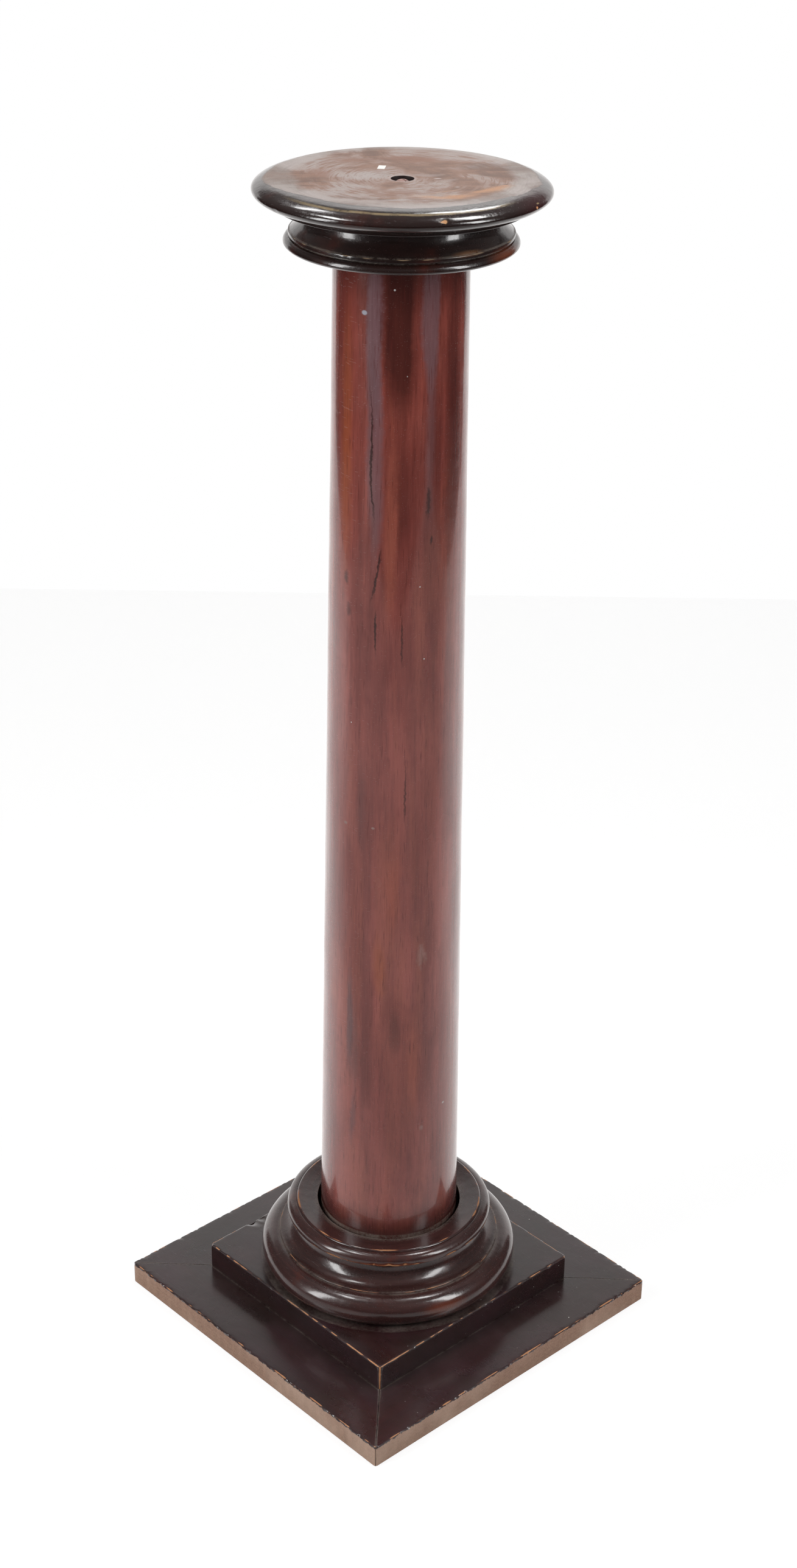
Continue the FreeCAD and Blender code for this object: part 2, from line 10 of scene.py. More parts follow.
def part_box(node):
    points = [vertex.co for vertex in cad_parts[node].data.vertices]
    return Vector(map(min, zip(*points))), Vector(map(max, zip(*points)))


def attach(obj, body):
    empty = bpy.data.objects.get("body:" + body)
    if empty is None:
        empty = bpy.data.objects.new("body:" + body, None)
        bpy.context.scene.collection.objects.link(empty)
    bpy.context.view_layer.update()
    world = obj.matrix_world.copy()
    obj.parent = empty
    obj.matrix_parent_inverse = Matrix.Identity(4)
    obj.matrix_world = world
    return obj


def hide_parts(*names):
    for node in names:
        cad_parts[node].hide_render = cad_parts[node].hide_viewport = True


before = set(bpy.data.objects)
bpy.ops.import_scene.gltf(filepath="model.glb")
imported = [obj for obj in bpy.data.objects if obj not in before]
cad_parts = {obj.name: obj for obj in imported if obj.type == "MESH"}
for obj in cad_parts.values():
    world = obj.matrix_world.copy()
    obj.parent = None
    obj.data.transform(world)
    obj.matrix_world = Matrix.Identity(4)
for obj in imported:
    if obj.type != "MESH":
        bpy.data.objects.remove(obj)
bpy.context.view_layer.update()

bl_info = {
    "name": "Pedestal Column Stand",
    "version": (1, 0, 0),
    "blender": (4, 5, 0),
    "location": "3D View > Sidebar > Pedestal",
    "description": "Builds the turned, veneered and worn surfaces of a pedestal column stand",
    "category": "Add Mesh",
}

MM = 0.001
FULL_TURN = 2 * math.pi

# The column: its lowest and highest level, its radii there, its seam and its staves, in mm and degrees.
COLUMN_LOW, COLUMN_HIGH = 47.5, 1019.5
COLUMN_FOOT_RADIUS, COLUMN_HEAD_RADIUS, COLUMN_MEAN_RADIUS = 64.2, 53.7, 59.0
COLUMN_STEPS = 256
SEAM_ANGLE = 136.95
STAVE_ANGLE = 19.25
STAVES = 8

# Radii of the holes and steps of the turned pieces, and the depth of the hole in the round top.
SCREW_BORE, COUNTERBORE, COUNTERBORE_DEPTH = 3.25, 9.0, 5.5
TENON_HOLE, COLUMN_SOCKET = 28.25, 66.5
SCOTIA_FOOT, SCOTIA_THROAT, SCOTIA_NOSE, SCOTIA_TOP = 102.5, 84.5, 95.0, 86.4

# The side that is seen most, from which the worn and chipped places are set out.
VIEW_ANGLE = -43.05
AHEAD = (math.cos(math.radians(VIEW_ANGLE)), math.sin(math.radians(VIEW_ANGLE)), 0.0)
ASIDE = (-AHEAD[1], AHEAD[0], 0.0)


def node_box(name):
    """Lowest and highest corner of a CAD node, in millimetres."""
    low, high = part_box(name)
    return np.array(low) / MM, np.array(high) / MM


def node_radius(name):
    """Half the width of a CAD node, in millimetres."""
    low, high = node_box(name)
    return float(high[0] - low[0]) / 2


def level(name, top=True):
    """The highest or the lowest level of a CAD node, in millimetres."""
    return float(node_box(name)[1 if top else 0][2])


# ---------------------------------------------------------------- properties


class PedestalSizes(bpy.types.PropertyGroup):
    plate_radius: bpy.props.FloatProperty(
        name="Top radius",
        description="Radius of the round top over its rounded edge",
        default=node_radius("top_plate") * MM,
        unit="LENGTH",
    )
    bead_radius: bpy.props.FloatProperty(
        name="Capital radius",
        description="Radius of the bead at the foot of the capital",
        default=node_radius("capital") * MM,
        unit="LENGTH",
    )
    torus_radius: bpy.props.FloatProperty(
        name="Torus radius",
        description="Radius of the half-round ring on the plinth block",
        default=node_radius("base_torus_ring") * MM,
        unit="LENGTH",
    )
    block_side: bpy.props.FloatProperty(
        name="Plinth block side",
        description="Side of the square block under the rings",
        default=node_radius("plinth_block") * 2 * MM,
        unit="LENGTH",
    )
    board_width: bpy.props.FloatProperty(
        name="Frame board width",
        description="Width of the four mitred boards of the foot",
        default=0.092,
        unit="LENGTH",
    )
    handling_dents: bpy.props.FloatProperty(
        name="Handling dents",
        description="Depth of the dents and chips on the arrises, as a share of the real depth",
        default=1.0,
        min=0.0,
        max=2.0,
        subtype="FACTOR",
    )
    round_steps: bpy.props.IntProperty(
        name="Steps around",
        description="Number of faces around the turned pieces",
        default=320,
        min=64,
        max=640,
    )


def colour_property(name, description, default):
    return bpy.props.FloatVectorProperty(
        name=name, description=description, default=default, size=3, min=0.0, max=1.0, subtype="COLOR"
    )


class PedestalFinishes(bpy.types.PropertyGroup):
    varnish_dark: colour_property(
        "Dark varnish", "Brown-black stain of the turned pieces and the foot", (0.0165, 0.0072, 0.0062)
    )
    varnish_red: colour_property(
        "Red varnish", "Where the stain is thin and the red wood glows through", (0.085, 0.014, 0.007)
    )
    foot_stain: colour_property(
        "Foot stain", "Purple-brown stain of the flat foot", (0.0300, 0.0095, 0.0135)
    )
    veneer_dark: colour_property(
        "Veneer shadow", "Dark stripes of the column's veneer", (0.100, 0.0190, 0.0150)
    )
    veneer_red: colour_property(
        "Veneer red", "Main colour of the column's veneer", (0.285, 0.068, 0.050)
    )
    # Pale mauve painted reflections of the lamps and the floor, laid on the veneer as ribbons.
    veneer_painted_reflection: colour_property(
        "Veneer haze", "Pale mauve ribbons in the veneer", (0.19, 0.098, 0.108)
    )
    worn_top: colour_property(
        "Worn top", "Bare pink-brown wood of the worn round top", (0.30, 0.178, 0.132)
    )
    worn_grey: colour_property(
        "Old wax", "Grey bloom of wax and dirt on the worn top", (0.42, 0.365, 0.345)
    )
    bare_wood: colour_property(
        "Bare wood", "Fresh orange-brown wood where the varnish has chipped", (0.55, 0.25, 0.11)
    )
    sawn_edge: colour_property(
        "Sawn edge", "Unvarnished outer edge of the foot's boards", (0.42, 0.262, 0.185)
    )
    dust: colour_property("Dust", "Grey-tan dust in the recesses", (0.31, 0.265, 0.225))
    pine: colour_property("Pine", "Hidden carcase wood", (0.50, 0.30, 0.14))
    steel: colour_property("Old steel", "Screws, bolt and washer", (0.20, 0.17, 0.155))
    wear: bpy.props.FloatProperty(
        name="Edge wear",
        description="How much of the arrises is rubbed through to the wood",
        default=1.0,
        min=0.0,
        max=2.0,
        subtype="FACTOR",
    )
    dustiness: bpy.props.FloatProperty(
        name="Dustiness",
        description="How much dust lies in the recesses",
        default=1.0,
        min=0.0,
        max=2.0,
        subtype="FACTOR",
    )


class PedestalStudio(bpy.types.PropertyGroup):
    lamp_level: bpy.props.FloatProperty(
        name="Lamp level",
        description="All lamps, as a share of their set power",
        default=1.0,
        min=0.0,
        subtype="FACTOR",
    )
    room_light: bpy.props.FloatProperty(
        name="Room light", description="Brightness of the light from all around", default=0.10, min=0.0
    )


# ---------------------------------------------------------------- profiles


class Profile:
    """Points (across, up) in millimetres, with the places where handling wears them or dust gathers."""

    STEP = 0.2

    def __init__(self, start):
        self.points = [np.array(start, float)]
        self.marks = {"wear": [], "hollow": []}

    def _add(self, points):
        self.points.extend(points)
        return self

    def line(self, *ends):
        for end in ends:
            start, end = self.points[-1], np.array(end, float)
            steps = max(2, int(np.linalg.norm(end - start) / self.STEP))
            self._add(start + (end - start) * t for t in np.linspace(0, 1, steps + 1)[1:])
        return self

    def quarter(self, corner, end):
        """A quarter of an ellipse whose end tangents meet at corner."""
        start, corner, end = self.points[-1], np.array(corner, float), np.array(end, float)
        centre = start + end - corner
        steps = max(8, int(np.linalg.norm(end - start) / self.STEP))
        turns = np.linspace(0, math.pi / 2, steps + 1)[1:]
        from_centre, to_end = start - centre, end - centre
        return self._add(centre + from_centre * math.cos(t) + to_end * math.sin(t) for t in turns)

    def through(self, *places):
        """A smooth curve on through those points."""
        knots = np.array([self.points[-1], *places], float)
        knots = np.concatenate([[2 * knots[0] - knots[1]], knots, [2 * knots[-1] - knots[-2]]])
        for a, b, c, d in zip(knots, knots[1:], knots[2:], knots[3:]):
            steps = max(4, int(np.linalg.norm(c - b) / self.STEP))
            t = np.linspace(0, 1, steps + 1)[1:, None]
            bend = (2 * a - 5 * b + 4 * c - d) * t**2 + (3 * b - a - 3 * c + d) * t**3
            self._add(b + ((c - a) * t + bend) / 2)
        return self

    def worn(self, strength, reach=1.2, back=0):
        """Marks the last point as worn, or the point that many steps before it."""
        self.marks["wear"].append((len(self.points) - 1 - back, strength, reach))
        return self

    def dusty(self, strength, reach=2.5):
        self.marks["hollow"].append((len(self.points) - 1, strength, reach))
        return self

    def sampled(self, closed=True, soften=0.35, coarse=4.0, fine=0.55, turn=0.2):
        """Points with softened corners, closer together on curves and worn arrises, with their marks."""
        points = np.array(self.points)
        if closed:
            points = points[:-1]
        gaps = np.linalg.norm(np.diff(points, axis=0, append=points[:1]), axis=1)
        along = np.concatenate([[0], np.cumsum(gaps)[:-1]])
        total = gaps.sum() if closed else along[-1]
        marks = {
            kind: self._mark_values(along, total if closed else None, found)
            for kind, found in self.marks.items()
        }
        points = soften_line(points, soften / self.STEP, closed)
        steps = np.roll(points, -1, 0) - points if closed else np.diff(points, axis=0)
        heading = np.unwrap(np.arctan2(steps[:, 1], steps[:, 0]))
        if closed:
            bend = np.abs(np.roll(heading, -1) - heading)
            bend[-1] = bend[0]
        else:
            bend = np.concatenate([np.abs(np.diff(heading)), [0, 0]])
        rubbed = gaps * np.minimum(marks["wear"] * 2, 1)
        density = gaps / coarse + np.minimum(bend, 1) / turn + rubbed / fine
        if not closed:
            density[-1] = 0
        grown = np.concatenate([[0], np.cumsum(density)])
        count = max(8, int(math.ceil(grown[-1])))
        wanted = np.linspace(0, grown[-1], count + 1)[: count if closed else count + 1]
        places = np.interp(wanted, grown, np.arange(len(grown)))
        index = np.arange(len(points) + 1)
        after_last = slice(0, 1) if closed else slice(-1, None)
        lines = (points[:, 0], points[:, 1], marks["wear"], marks["hollow"])
        return [np.interp(places, index, np.concatenate([line, line[after_last]])) for line in lines]

    def _mark_values(self, along, total, found):
        value = np.zeros(len(along))
        for index, strength, reach in found:
            away = np.abs(along - along[min(index, len(along) - 1)])
            if total:
                away = np.minimum(away, total - away)
            value = np.maximum(value, strength * np.exp(-((away / reach) ** 2)))
        return value


def soften_line(points, sigma, closed):
    """The line after a Gaussian blur of that many points, which rounds its corners a little."""
    if sigma <= 0:
        return points
    half = int(math.ceil(3 * sigma))
    weights = np.exp(-0.5 * (np.arange(-half, half + 1) / sigma) ** 2)
    weights /= weights.sum()
    padded = np.pad(points, ((half, half), (0, 0)), mode="wrap" if closed else "edge")
    return np.stack([np.convolve(padded[:, k], weights, mode="valid") for k in (0, 1)], 1)


class Waves:
    """A smooth, repeatable unevenness over angle (radians) and a second coordinate (millimetres)."""

    def __init__(self, seed, around=(1, 7), along=(60.0, 260.0), count=14):
        draw = np.random.default_rng(seed)
        self.turns = draw.integers(around[0], around[1] + 1, count)
        self.rates = FULL_TURN / draw.uniform(along[0], along[1], count) * draw.choice([-1, 1], count)
        self.phases = draw.uniform(0, FULL_TURN, count)
        self.sizes = draw.uniform(0.4, 1.0, count)
        self.sizes /= np.sqrt((self.sizes**2).sum())

    def __call__(self, angle, along):
        value = 0.0
        for turns, rate, phase, size in zip(self.turns, self.rates, self.phases, self.sizes):
            value = value + size * np.sin(turns * angle + rate * along + phase)
        return value


# ---------------------------------------------------------------- meshes


def new_piece(name, coords, faces, attributes):
    """A mesh object in metres from numpy coordinates in millimetres."""
    mesh = bpy.data.meshes.new(name)
    mesh.from_pydata((np.asarray(coords) * MM).tolist(), [], faces)
    for label, values in attributes.items():
        attribute = mesh.attributes.new(label, "FLOAT", "POINT")
        attribute.data.foreach_set("value", np.asarray(values, np.float32))
    mesh.update()
    mesh.validate()
    piece = bpy.data.objects.new(name, mesh)
    bpy.context.scene.collection.objects.link(piece)
    for polygon in mesh.polygons:
        polygon.use_smooth = True
    return piece


def grid_faces(rows, columns, close_rows=True, close_columns=True):
    """Quads of a grid, whose rows and columns close on themselves unless told not to."""
    last_row = rows if close_rows else rows - 1
    last_column = columns if close_columns else columns - 1
    row, column = np.meshgrid(np.arange(last_row), np.arange(last_column), indexing="ij")
    here, below = row * columns, (row + 1) % rows * columns
    right = (column + 1) % columns
    corners = (here + column, here + right, below + right, below + column)
    return np.stack(corners, -1).reshape(-1, 4).tolist()


def grid_normals(points, closed_rows):
    """Rough unit normals of a (rows, columns, 3) grid."""
    along = np.roll(points, -1, 1) - np.roll(points, 1, 1)
    if closed_rows:
        down = np.roll(points, -1, 0) - np.roll(points, 1, 0)
    else:
        down = np.gradient(points, axis=0)
    normals = np.cross(along, down)
    return normals / np.maximum(np.linalg.norm(normals, axis=2, keepdims=True), 1e-9)


def dent(points, normals, wear, dents, share):
    """Presses each dent (place, radius, depth, bareness) into the points, all in millimetres."""
    for place, radius, depth, bareness in dents:
        away = np.linalg.norm(points - np.array(place, float), axis=2) / radius
        press = np.clip(1 - away**2, 0, 1) ** 1.5
        points -= normals * (press * depth * share)[..., None]
        np.maximum(wear, press * bareness, out=wear)


def turned(name, profile, steps, waves, ripple, share, dents):
    """A ring or disc turned from a closed profile, slightly uneven, with rubbed and dented arrises."""
    across, up, wear, hollow = profile.sampled()
    turn = np.linspace(0, FULL_TURN, steps, endpoint=False)[None, :]
    uneven = waves(turn, up[:, None] + across[:, None])
    patches = Waves(len(name), (5, 37), (30.0, 90.0), 18)
    chatter = np.clip(0.45 + 0.55 * patches(turn, up[:, None]), 0, 1.4)
    rub = wear[:, None] * chatter
    radius = across[:, None] + ripple * uneven * (across[:, None] > 30) - 0.22 * rub * share
    points = np.stack(
        [radius * np.cos(turn), radius * np.sin(turn), np.broadcast_to(up[:, None], radius.shape)], 2
    )
    normals = grid_normals(points, True)
    if (normals[..., :2] * points[..., :2]).sum(2)[np.argmax(across)].mean() < 0:
        normals = -normals
    dent(points, normals, rub, dents, share)
    faces = grid_faces(len(across), steps)
    holes = np.broadcast_to(hollow[:, None], rub.shape)
    attributes = {"wear": rub.ravel(), "hollow": holes.ravel()}
    return new_piece(name, points.reshape(-1, 3), faces, attributes)


def rounded_square(half, corner, step):
    """Points and outward normals around a square with rounded corners, counter-clockwise."""
    places, normals = [], []
    straight = half - corner
    for turn in range(4):
        c, s = round(math.cos(turn * math.pi / 2)), round(math.sin(turn * math.pi / 2))
        spin = np.array([[c, -s], [s, c]])
        for t in np.linspace(-straight, straight, int(2 * straight / step) + 1):
            places.append(spin @ (t, -half))
            normals.append(spin @ (0.0, -1.0))
        for t in np.linspace(-math.pi / 2, 0, 9)[1:-1]:
            way = np.array([math.cos(t), math.sin(t)])
            places.append(spin @ (np.array([straight, -straight]) + corner * way))
            normals.append(spin @ way)
    return np.array(places), np.array(normals)


def moulded(name, outline, thickness, base, arris, waves, share, dents):
    """A flat block on an outline, with eased arrises above and below and dented edges."""
    places, normals_2d = outline
    profile = Profile((arris, 0)).quarter((0, 0), (0, arris)).line((0, thickness - arris))
    profile.quarter((0, thickness), (arris, thickness))
    across, up, _, _ = profile.sampled(closed=False, soften=0.0, coarse=3.0, turn=0.4)
    rings = np.array([0.25, 0.6, 1.2, 2.2, 4.0, 7.0, 12.0, 20.0, 32.0])
    middle = places.mean(0)
    along = np.concatenate([[0], np.cumsum(np.linalg.norm(np.diff(places, axis=0), axis=1))])
    around = along / along[-1] * FULL_TURN
    half = float(np.linalg.norm(places - middle, axis=1).min())
    ahead = places @ AHEAD[:2]
    chatter = 0.66 + 0.42 * waves(around, 0.0) + 0.45 * np.exp(-(((ahead.max() - ahead) / 80) ** 2))
    chatter = np.clip(chatter, 0, 1.5)
    corner = np.clip((np.abs(normals_2d).min(1) - 0.3) / 0.25, 0, 1)
    to_corner = np.abs(np.abs(places[:, 0]) - np.abs(places[:, 1]))
    chatter = chatter * (1 + 0.35 * np.exp(-((to_corner / 45) ** 2)))
    rows, wears = [], []

    def ring(inset, height, inward, rub):
        """One closed row of points, drawn towards the middle by inward."""
        flat = places - normals_2d * inset
        flat = flat + (middle - flat) * np.clip(inward / half, 0, 1)
        rows.append(np.column_stack([flat, np.full(len(flat), base + height)]))
        wears.append(rub * chatter)

    for inward in rings[::-1]:
        ring(arris, 0, inward, 0.0)
    for a, h in zip(across, up):
        below = thickness - h
        rub = math.exp(-((below / 0.85) ** 2)) + 0.4 * math.exp(-((h / 0.7) ** 2))
        ring(a, h, 0.0, np.maximum(rub, corner * (1.35 - 0.85 * below / thickness)))
    for inward in rings:
        ring(arris, thickness, inward, math.exp(-(((inward + 0.5) / 0.85) ** 2)))
    points, wear = np.array(rows), np.array(wears)
    normals = grid_normals(points, False)
    flat_out = np.concatenate([normals_2d, np.zeros((len(places), 1))], 1)
    if (normals[len(rings) + len(across) // 2] * flat_out).sum(1).mean() < 0:
        normals = -normals
    points[..., :2] -= normals[..., :2] * (0.16 * share * wear)[..., None]
    points[..., 2] -= np.maximum(normals[..., 2], 0) * 0.16 * share * wear
    dent(points, normals, wear, dents, share)
    count, columns = points.shape[:2]
    faces = grid_faces(count, columns, close_rows=False)
    faces.append(list(range(columns))[::-1])
    faces.append(list(range((count - 1) * columns, count * columns)))
    return new_piece(name, points.reshape(-1, 3), faces, {"wear": wear.ravel()})


def turn_outward(piece):
    """Makes all faces of a closed mesh point outward, by the sign of its volume."""
    mesh = piece.data
    coords = np.empty(len(mesh.vertices) * 3)
    mesh.vertices.foreach_get("co", coords)
    coords = coords.reshape(-1, 3)
    mesh.calc_loop_triangles()
    corners = np.empty(len(mesh.loop_triangles) * 3, np.int32)
    mesh.loop_triangles.foreach_get("vertices", corners)
    a, b, c = coords[corners.reshape(-1, 3)].transpose(1, 0, 2)
    if (a * np.cross(b, c)).sum() < 0:
        mesh.flip_normals()
    return piece


def dress(piece, nodes, material, body="root"):
    """Gives a piece its material, its body and the CAD nodes that it stands for."""
    turn_outward(piece)
    piece.data.materials.append(material)
    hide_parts(*nodes)
    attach(piece, body)
    return piece


def clothe_nodes(names, material):
    """Gives CAD nodes that stay in view a material through their object's slots."""
    for name in names:
        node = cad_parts[name]
        if not node.data.materials:
            node.data.materials.append(None)
        for slot in node.material_slots:
            slot.link = "OBJECT"
            slot.material = material


# ---------------------------------------------------------------- shader trees


class Graph:
    """Adds nodes to a shader tree and links or sets what they are given."""

    def __init__(self, tree):
        self.tree = tree

    def add(self, kind, inputs=None, **settings):
        node = self.tree.nodes.new(kind)
        count = len(self.tree.nodes)
        node.location = (count % 12 * 190, -(count // 12) * 230)
        for name, value in settings.items():
            setattr(node, name, value)
        for name, value in (inputs or {}).items():
            self.put(node.inputs[name], value)
        return node

    def put(self, socket, value):
        if isinstance(value, bpy.types.NodeSocket):
            self.tree.links.new(value, socket)
        elif value is not None:
            wide = hasattr(socket.default_value, "__len__") and len(socket.default_value) == 4
            socket.default_value = (*value, 1.0) if wide and len(value) == 3 else value

    def math(self, operation, *values, clamp=False):
        inputs = dict(enumerate(values))
        return self.add("ShaderNodeMath", inputs, operation=operation, use_clamp=clamp).outputs[0]

    def times(self, first, second, clamp=False):
        return self.math("MULTIPLY", first, second, clamp=clamp)

    def plus(self, first, second, clamp=False):
        return self.math("ADD", first, second, clamp=clamp)

    def minus(self, first, second):
        return self.math("SUBTRACT", first, second)

    def larger(self, first, second):
        return self.math("MAXIMUM", first, second)

    def vector(self, operation, *values):
        node = self.add("ShaderNodeVectorMath", operation=operation)
        for socket, value in zip(node.inputs, values):
            self.put(socket, value)
        return node.outputs["Value" if operation in ("LENGTH", "DOT_PRODUCT", "DISTANCE") else "Vector"]

    def smooth(self, value, low, high, to_low=0.0, to_high=1.0):
        node = self.add("ShaderNodeMapRange", interpolation_type="SMOOTHSTEP")
        for socket, given in zip(node.inputs, (value, low, high, to_low, to_high)):
            self.put(socket, given)
        return node.outputs[0]

    def mix(self, share, first, second, blend="MIX"):
        node = self.add("ShaderNodeMix", data_type="RGBA", blend_type=blend, clamp_factor=True)
        for index, value in ((0, share), (6, first), (7, second)):
            self.put(node.inputs[index], value)
        return node.outputs[2]

    def over(self, colour, mask, strength, tint):
        """The colour with a tint laid over it where the mask is high."""
        return self.mix(self.times(mask, strength), colour, tint)

    def shade(self, colour, value):
        """The colour made darker or lighter by a number."""
        return self.mix(1.0, colour, self.join(value, value, value), "MULTIPLY")

    def blend(self, share, first, second):
        """Mix of two numbers."""
        node = self.add("ShaderNodeMix", data_type="FLOAT", clamp_factor=True)
        for index, value in ((0, share), (2, first), (3, second)):
            self.put(node.inputs[index], value)
        return node.outputs[0]

    def noise(self, vector, scale, detail=2.0, roughness=0.5, distortion=0.0):
        inputs = {
            "Vector": vector,
            "Scale": scale,
            "Detail": detail,
            "Roughness": roughness,
            "Distortion": distortion,
        }
        return self.add("ShaderNodeTexNoise", inputs).outputs["Fac"]

    def sway(self, vector, scale, detail):
        """A vector that wanders by up to a half to either side."""
        inputs = {"Vector": vector, "Scale": scale, "Detail": detail}
        colour = self.add("ShaderNodeTexNoise", inputs).outputs["Color"]
        return self.vector("SUBTRACT", colour, (0.5, 0.5, 0.5))

    def attribute(self, name):
        node = self.add("ShaderNodeAttribute", attribute_name=name, attribute_type="GEOMETRY")
        return node.outputs["Fac"]

    def facing_up(self):
        """The upward part of the surface's normal."""
        return self.split(self.add("ShaderNodeNewGeometry").outputs["Normal"])[2]

    def split(self, vector):
        return self.add("ShaderNodeSeparateXYZ", {"Vector": vector}).outputs

    def join(self, x=0.0, y=0.0, z=0.0):
        return self.add("ShaderNodeCombineXYZ", {"X": x, "Y": y, "Z": z}).outputs[0]

    def use(self, name, **inputs):
        """Places a node group and gives its inputs, whose spaces are written as underscores."""
        node = self.add("ShaderNodeGroup", node_tree=bpy.data.node_groups[name])
        for label, value in inputs.items():
            self.put(node.inputs[label.replace("_", " ")], value)
        return node.outputs


FLOAT, VECTOR = "NodeSocketFloat", "NodeSocketVector"


def new_group(name, inputs, outputs):
    """An empty shader node group with those sockets, and a Graph, its input sockets and its output node."""
    tree = bpy.data.node_groups.new(name, "ShaderNodeTree")
    for label, kind, default in inputs:
        socket = tree.interface.new_socket(label, in_out="INPUT", socket_type=kind)
        if default is not None:
            socket.default_value = default
    for label, kind in outputs:
        tree.interface.new_socket(label, in_out="OUTPUT", socket_type=kind)
    graph = Graph(tree)
    return graph, graph.add("NodeGroupInput").outputs, graph.add("NodeGroupOutput").inputs


def make_spot_group():
    """A soft-edged mark: an ellipsoid at a place, turned and sized as its inputs say."""
    inputs = [
        ("Vector", VECTOR, None),
        ("Place", VECTOR, (0, 0, 0)),
        ("Turn", VECTOR, (0, 0, 0)),
        ("Half Size", VECTOR, (1, 1, 1)),
        ("Softness", FLOAT, 0.5),
    ]
    graph, given, out = new_group("Spot Mark", inputs, [("Mask", FLOAT)])
    mapped = graph.add(
        "ShaderNodeMapping",
        {
            "Vector": given["Vector"],
            "Location": given["Place"],
            "Rotation": given["Turn"],
            "Scale": given["Half Size"],
        },
        vector_type="TEXTURE",
    ).outputs[0]
    away = graph.vector("LENGTH", mapped)
    core = graph.minus(1.0, given["Softness"])
    graph.put(out["Mask"], graph.smooth(away, core, 1.0, 1.0, 0.0))


def make_grain_group():
    """Straight wood grain along the vector's Z: broad figure, pores and fine fibre."""
    inputs = [
        ("Vector", VECTOR, None),
        ("Figure Width", FLOAT, 0.012),
        ("Pore Width", FLOAT, 0.0009),
        ("Stretch", FLOAT, 22.0),
        ("Waviness", FLOAT, 0.5),
    ]
    outputs = [("Figure", FLOAT), ("Pores", FLOAT), ("Fibre", FLOAT)]
    graph, given, out = new_group("Wood Grain", inputs, outputs)
    shrink = graph.math("DIVIDE", 1.0, given["Stretch"])
    long_way = graph.vector("MULTIPLY", given["Vector"], graph.join(1.0, 1.0, shrink))
    figure_scale = graph.math("DIVIDE", 1.0, given["Figure Width"])
    pore_scale = graph.math("DIVIDE", 1.0, given["Pore Width"])
    figure = graph.noise(long_way, figure_scale, 4.0, 0.55, given["Waviness"])
    pores = graph.noise(long_way, pore_scale, 2.0, 0.6)
    fibre = graph.noise(long_way, graph.times(pore_scale, 0.4), 3.0, 0.65)
    graph.put(out["Figure"], graph.smooth(figure, 0.28, 0.72))
    graph.put(out["Pores"], graph.smooth(pores, 0.56, 0.72))
    graph.put(out["Fibre"], fibre)


def make_wear_group():
    """Wood rubbed or chipped bare where the wear value is high, broken up by noise."""
    inputs = [
        ("Vector", VECTOR, None),
        ("Wear", FLOAT, 0.0),
        ("Amount", FLOAT, 1.0),
        ("Break Up", FLOAT, 160.0),
    ]
    graph, given, out = new_group("Edge Wear", inputs, [("Bare", FLOAT), ("Rubbed", FLOAT)])
    amount = graph.times(given["Wear"], given["Amount"])
    value = amount
    drawn_out = graph.vector("MULTIPLY", given["Vector"], (0.35, 0.35, 1.0))
    for share, strength in ((1.0, 0.75), (0.22, 1.0), (0.07, 1.5)):
        found = graph.noise(drawn_out, graph.times(given["Break Up"], share), 3.0, 0.6)
        value = graph.plus(value, graph.times(graph.minus(found, 0.5), strength))
    bare = graph.times(graph.smooth(value, 0.84, 0.94), graph.smooth(amount, 0.2, 0.35))
    graph.put(out["Bare"], bare)
    rubbed = graph.times(graph.smooth(value, 0.40, 0.95), graph.smooth(amount, 0.04, 0.3))
    graph.put(out["Rubbed"], rubbed)


def make_dust_group():
    """Dust that lies in hollows and, thinly, on what faces up."""
    inputs = [
        ("Vector", VECTOR, None),
        ("Hollow", FLOAT, 0.0),
        ("Amount", FLOAT, 1.0),
        ("Film", FLOAT, 0.1),
    ]
    graph, given, out = new_group("Settled Dust", inputs, [("Mask", FLOAT)])
    facing = graph.smooth(graph.facing_up(), 0.3, 1.0)
    clumps = graph.noise(given["Vector"], 420.0, 5.0, 0.75)
    drifts = graph.noise(given["Vector"], 38.0, 3.0, 0.6)
    lying = graph.times(given["Hollow"], graph.smooth(graph.plus(clumps, drifts), 0.75, 1.25))
    film = graph.times(graph.times(facing, given["Film"]), graph.smooth(drifts, 0.35, 0.7))
    both = graph.times(graph.plus(lying, film), given["Amount"], clamp=True)
    graph.put(out["Mask"], both)


def make_speck_group():
    """Small separate flecks, of which only a share of the cells has one."""
    inputs = [
        ("Vector", VECTOR, None),
        ("Spacing", FLOAT, 0.012),
        ("Share", FLOAT, 0.3),
        ("Size", FLOAT, 0.08),
    ]
    graph, given, out = new_group("Flecks", inputs, [("Mask", FLOAT)])
    scale = graph.math("DIVIDE", 1.0, given["Spacing"])
    placing = {"Vector": given["Vector"], "Scale": scale, "Randomness": 1.0}
    cells = graph.add("ShaderNodeTexVoronoi", placing)
    draw = graph.split(cells.outputs["Color"])
    chosen = graph.math("LESS_THAN", draw[0], given["Share"])
    size = graph.times(given["Size"], graph.smooth(draw[1], 0.0, 1.0, 0.35, 1.0))
    ragged = graph.times(graph.noise(given["Vector"], 900.0, 2.0), 0.5)
    reach = graph.plus(cells.outputs["Distance"], graph.times(ragged, size))
    inside = graph.smooth(reach, graph.times(size, 0.9), graph.times(size, 1.25), 1.0, 0.0)
    graph.put(out["Mask"], graph.times(inside, chosen))


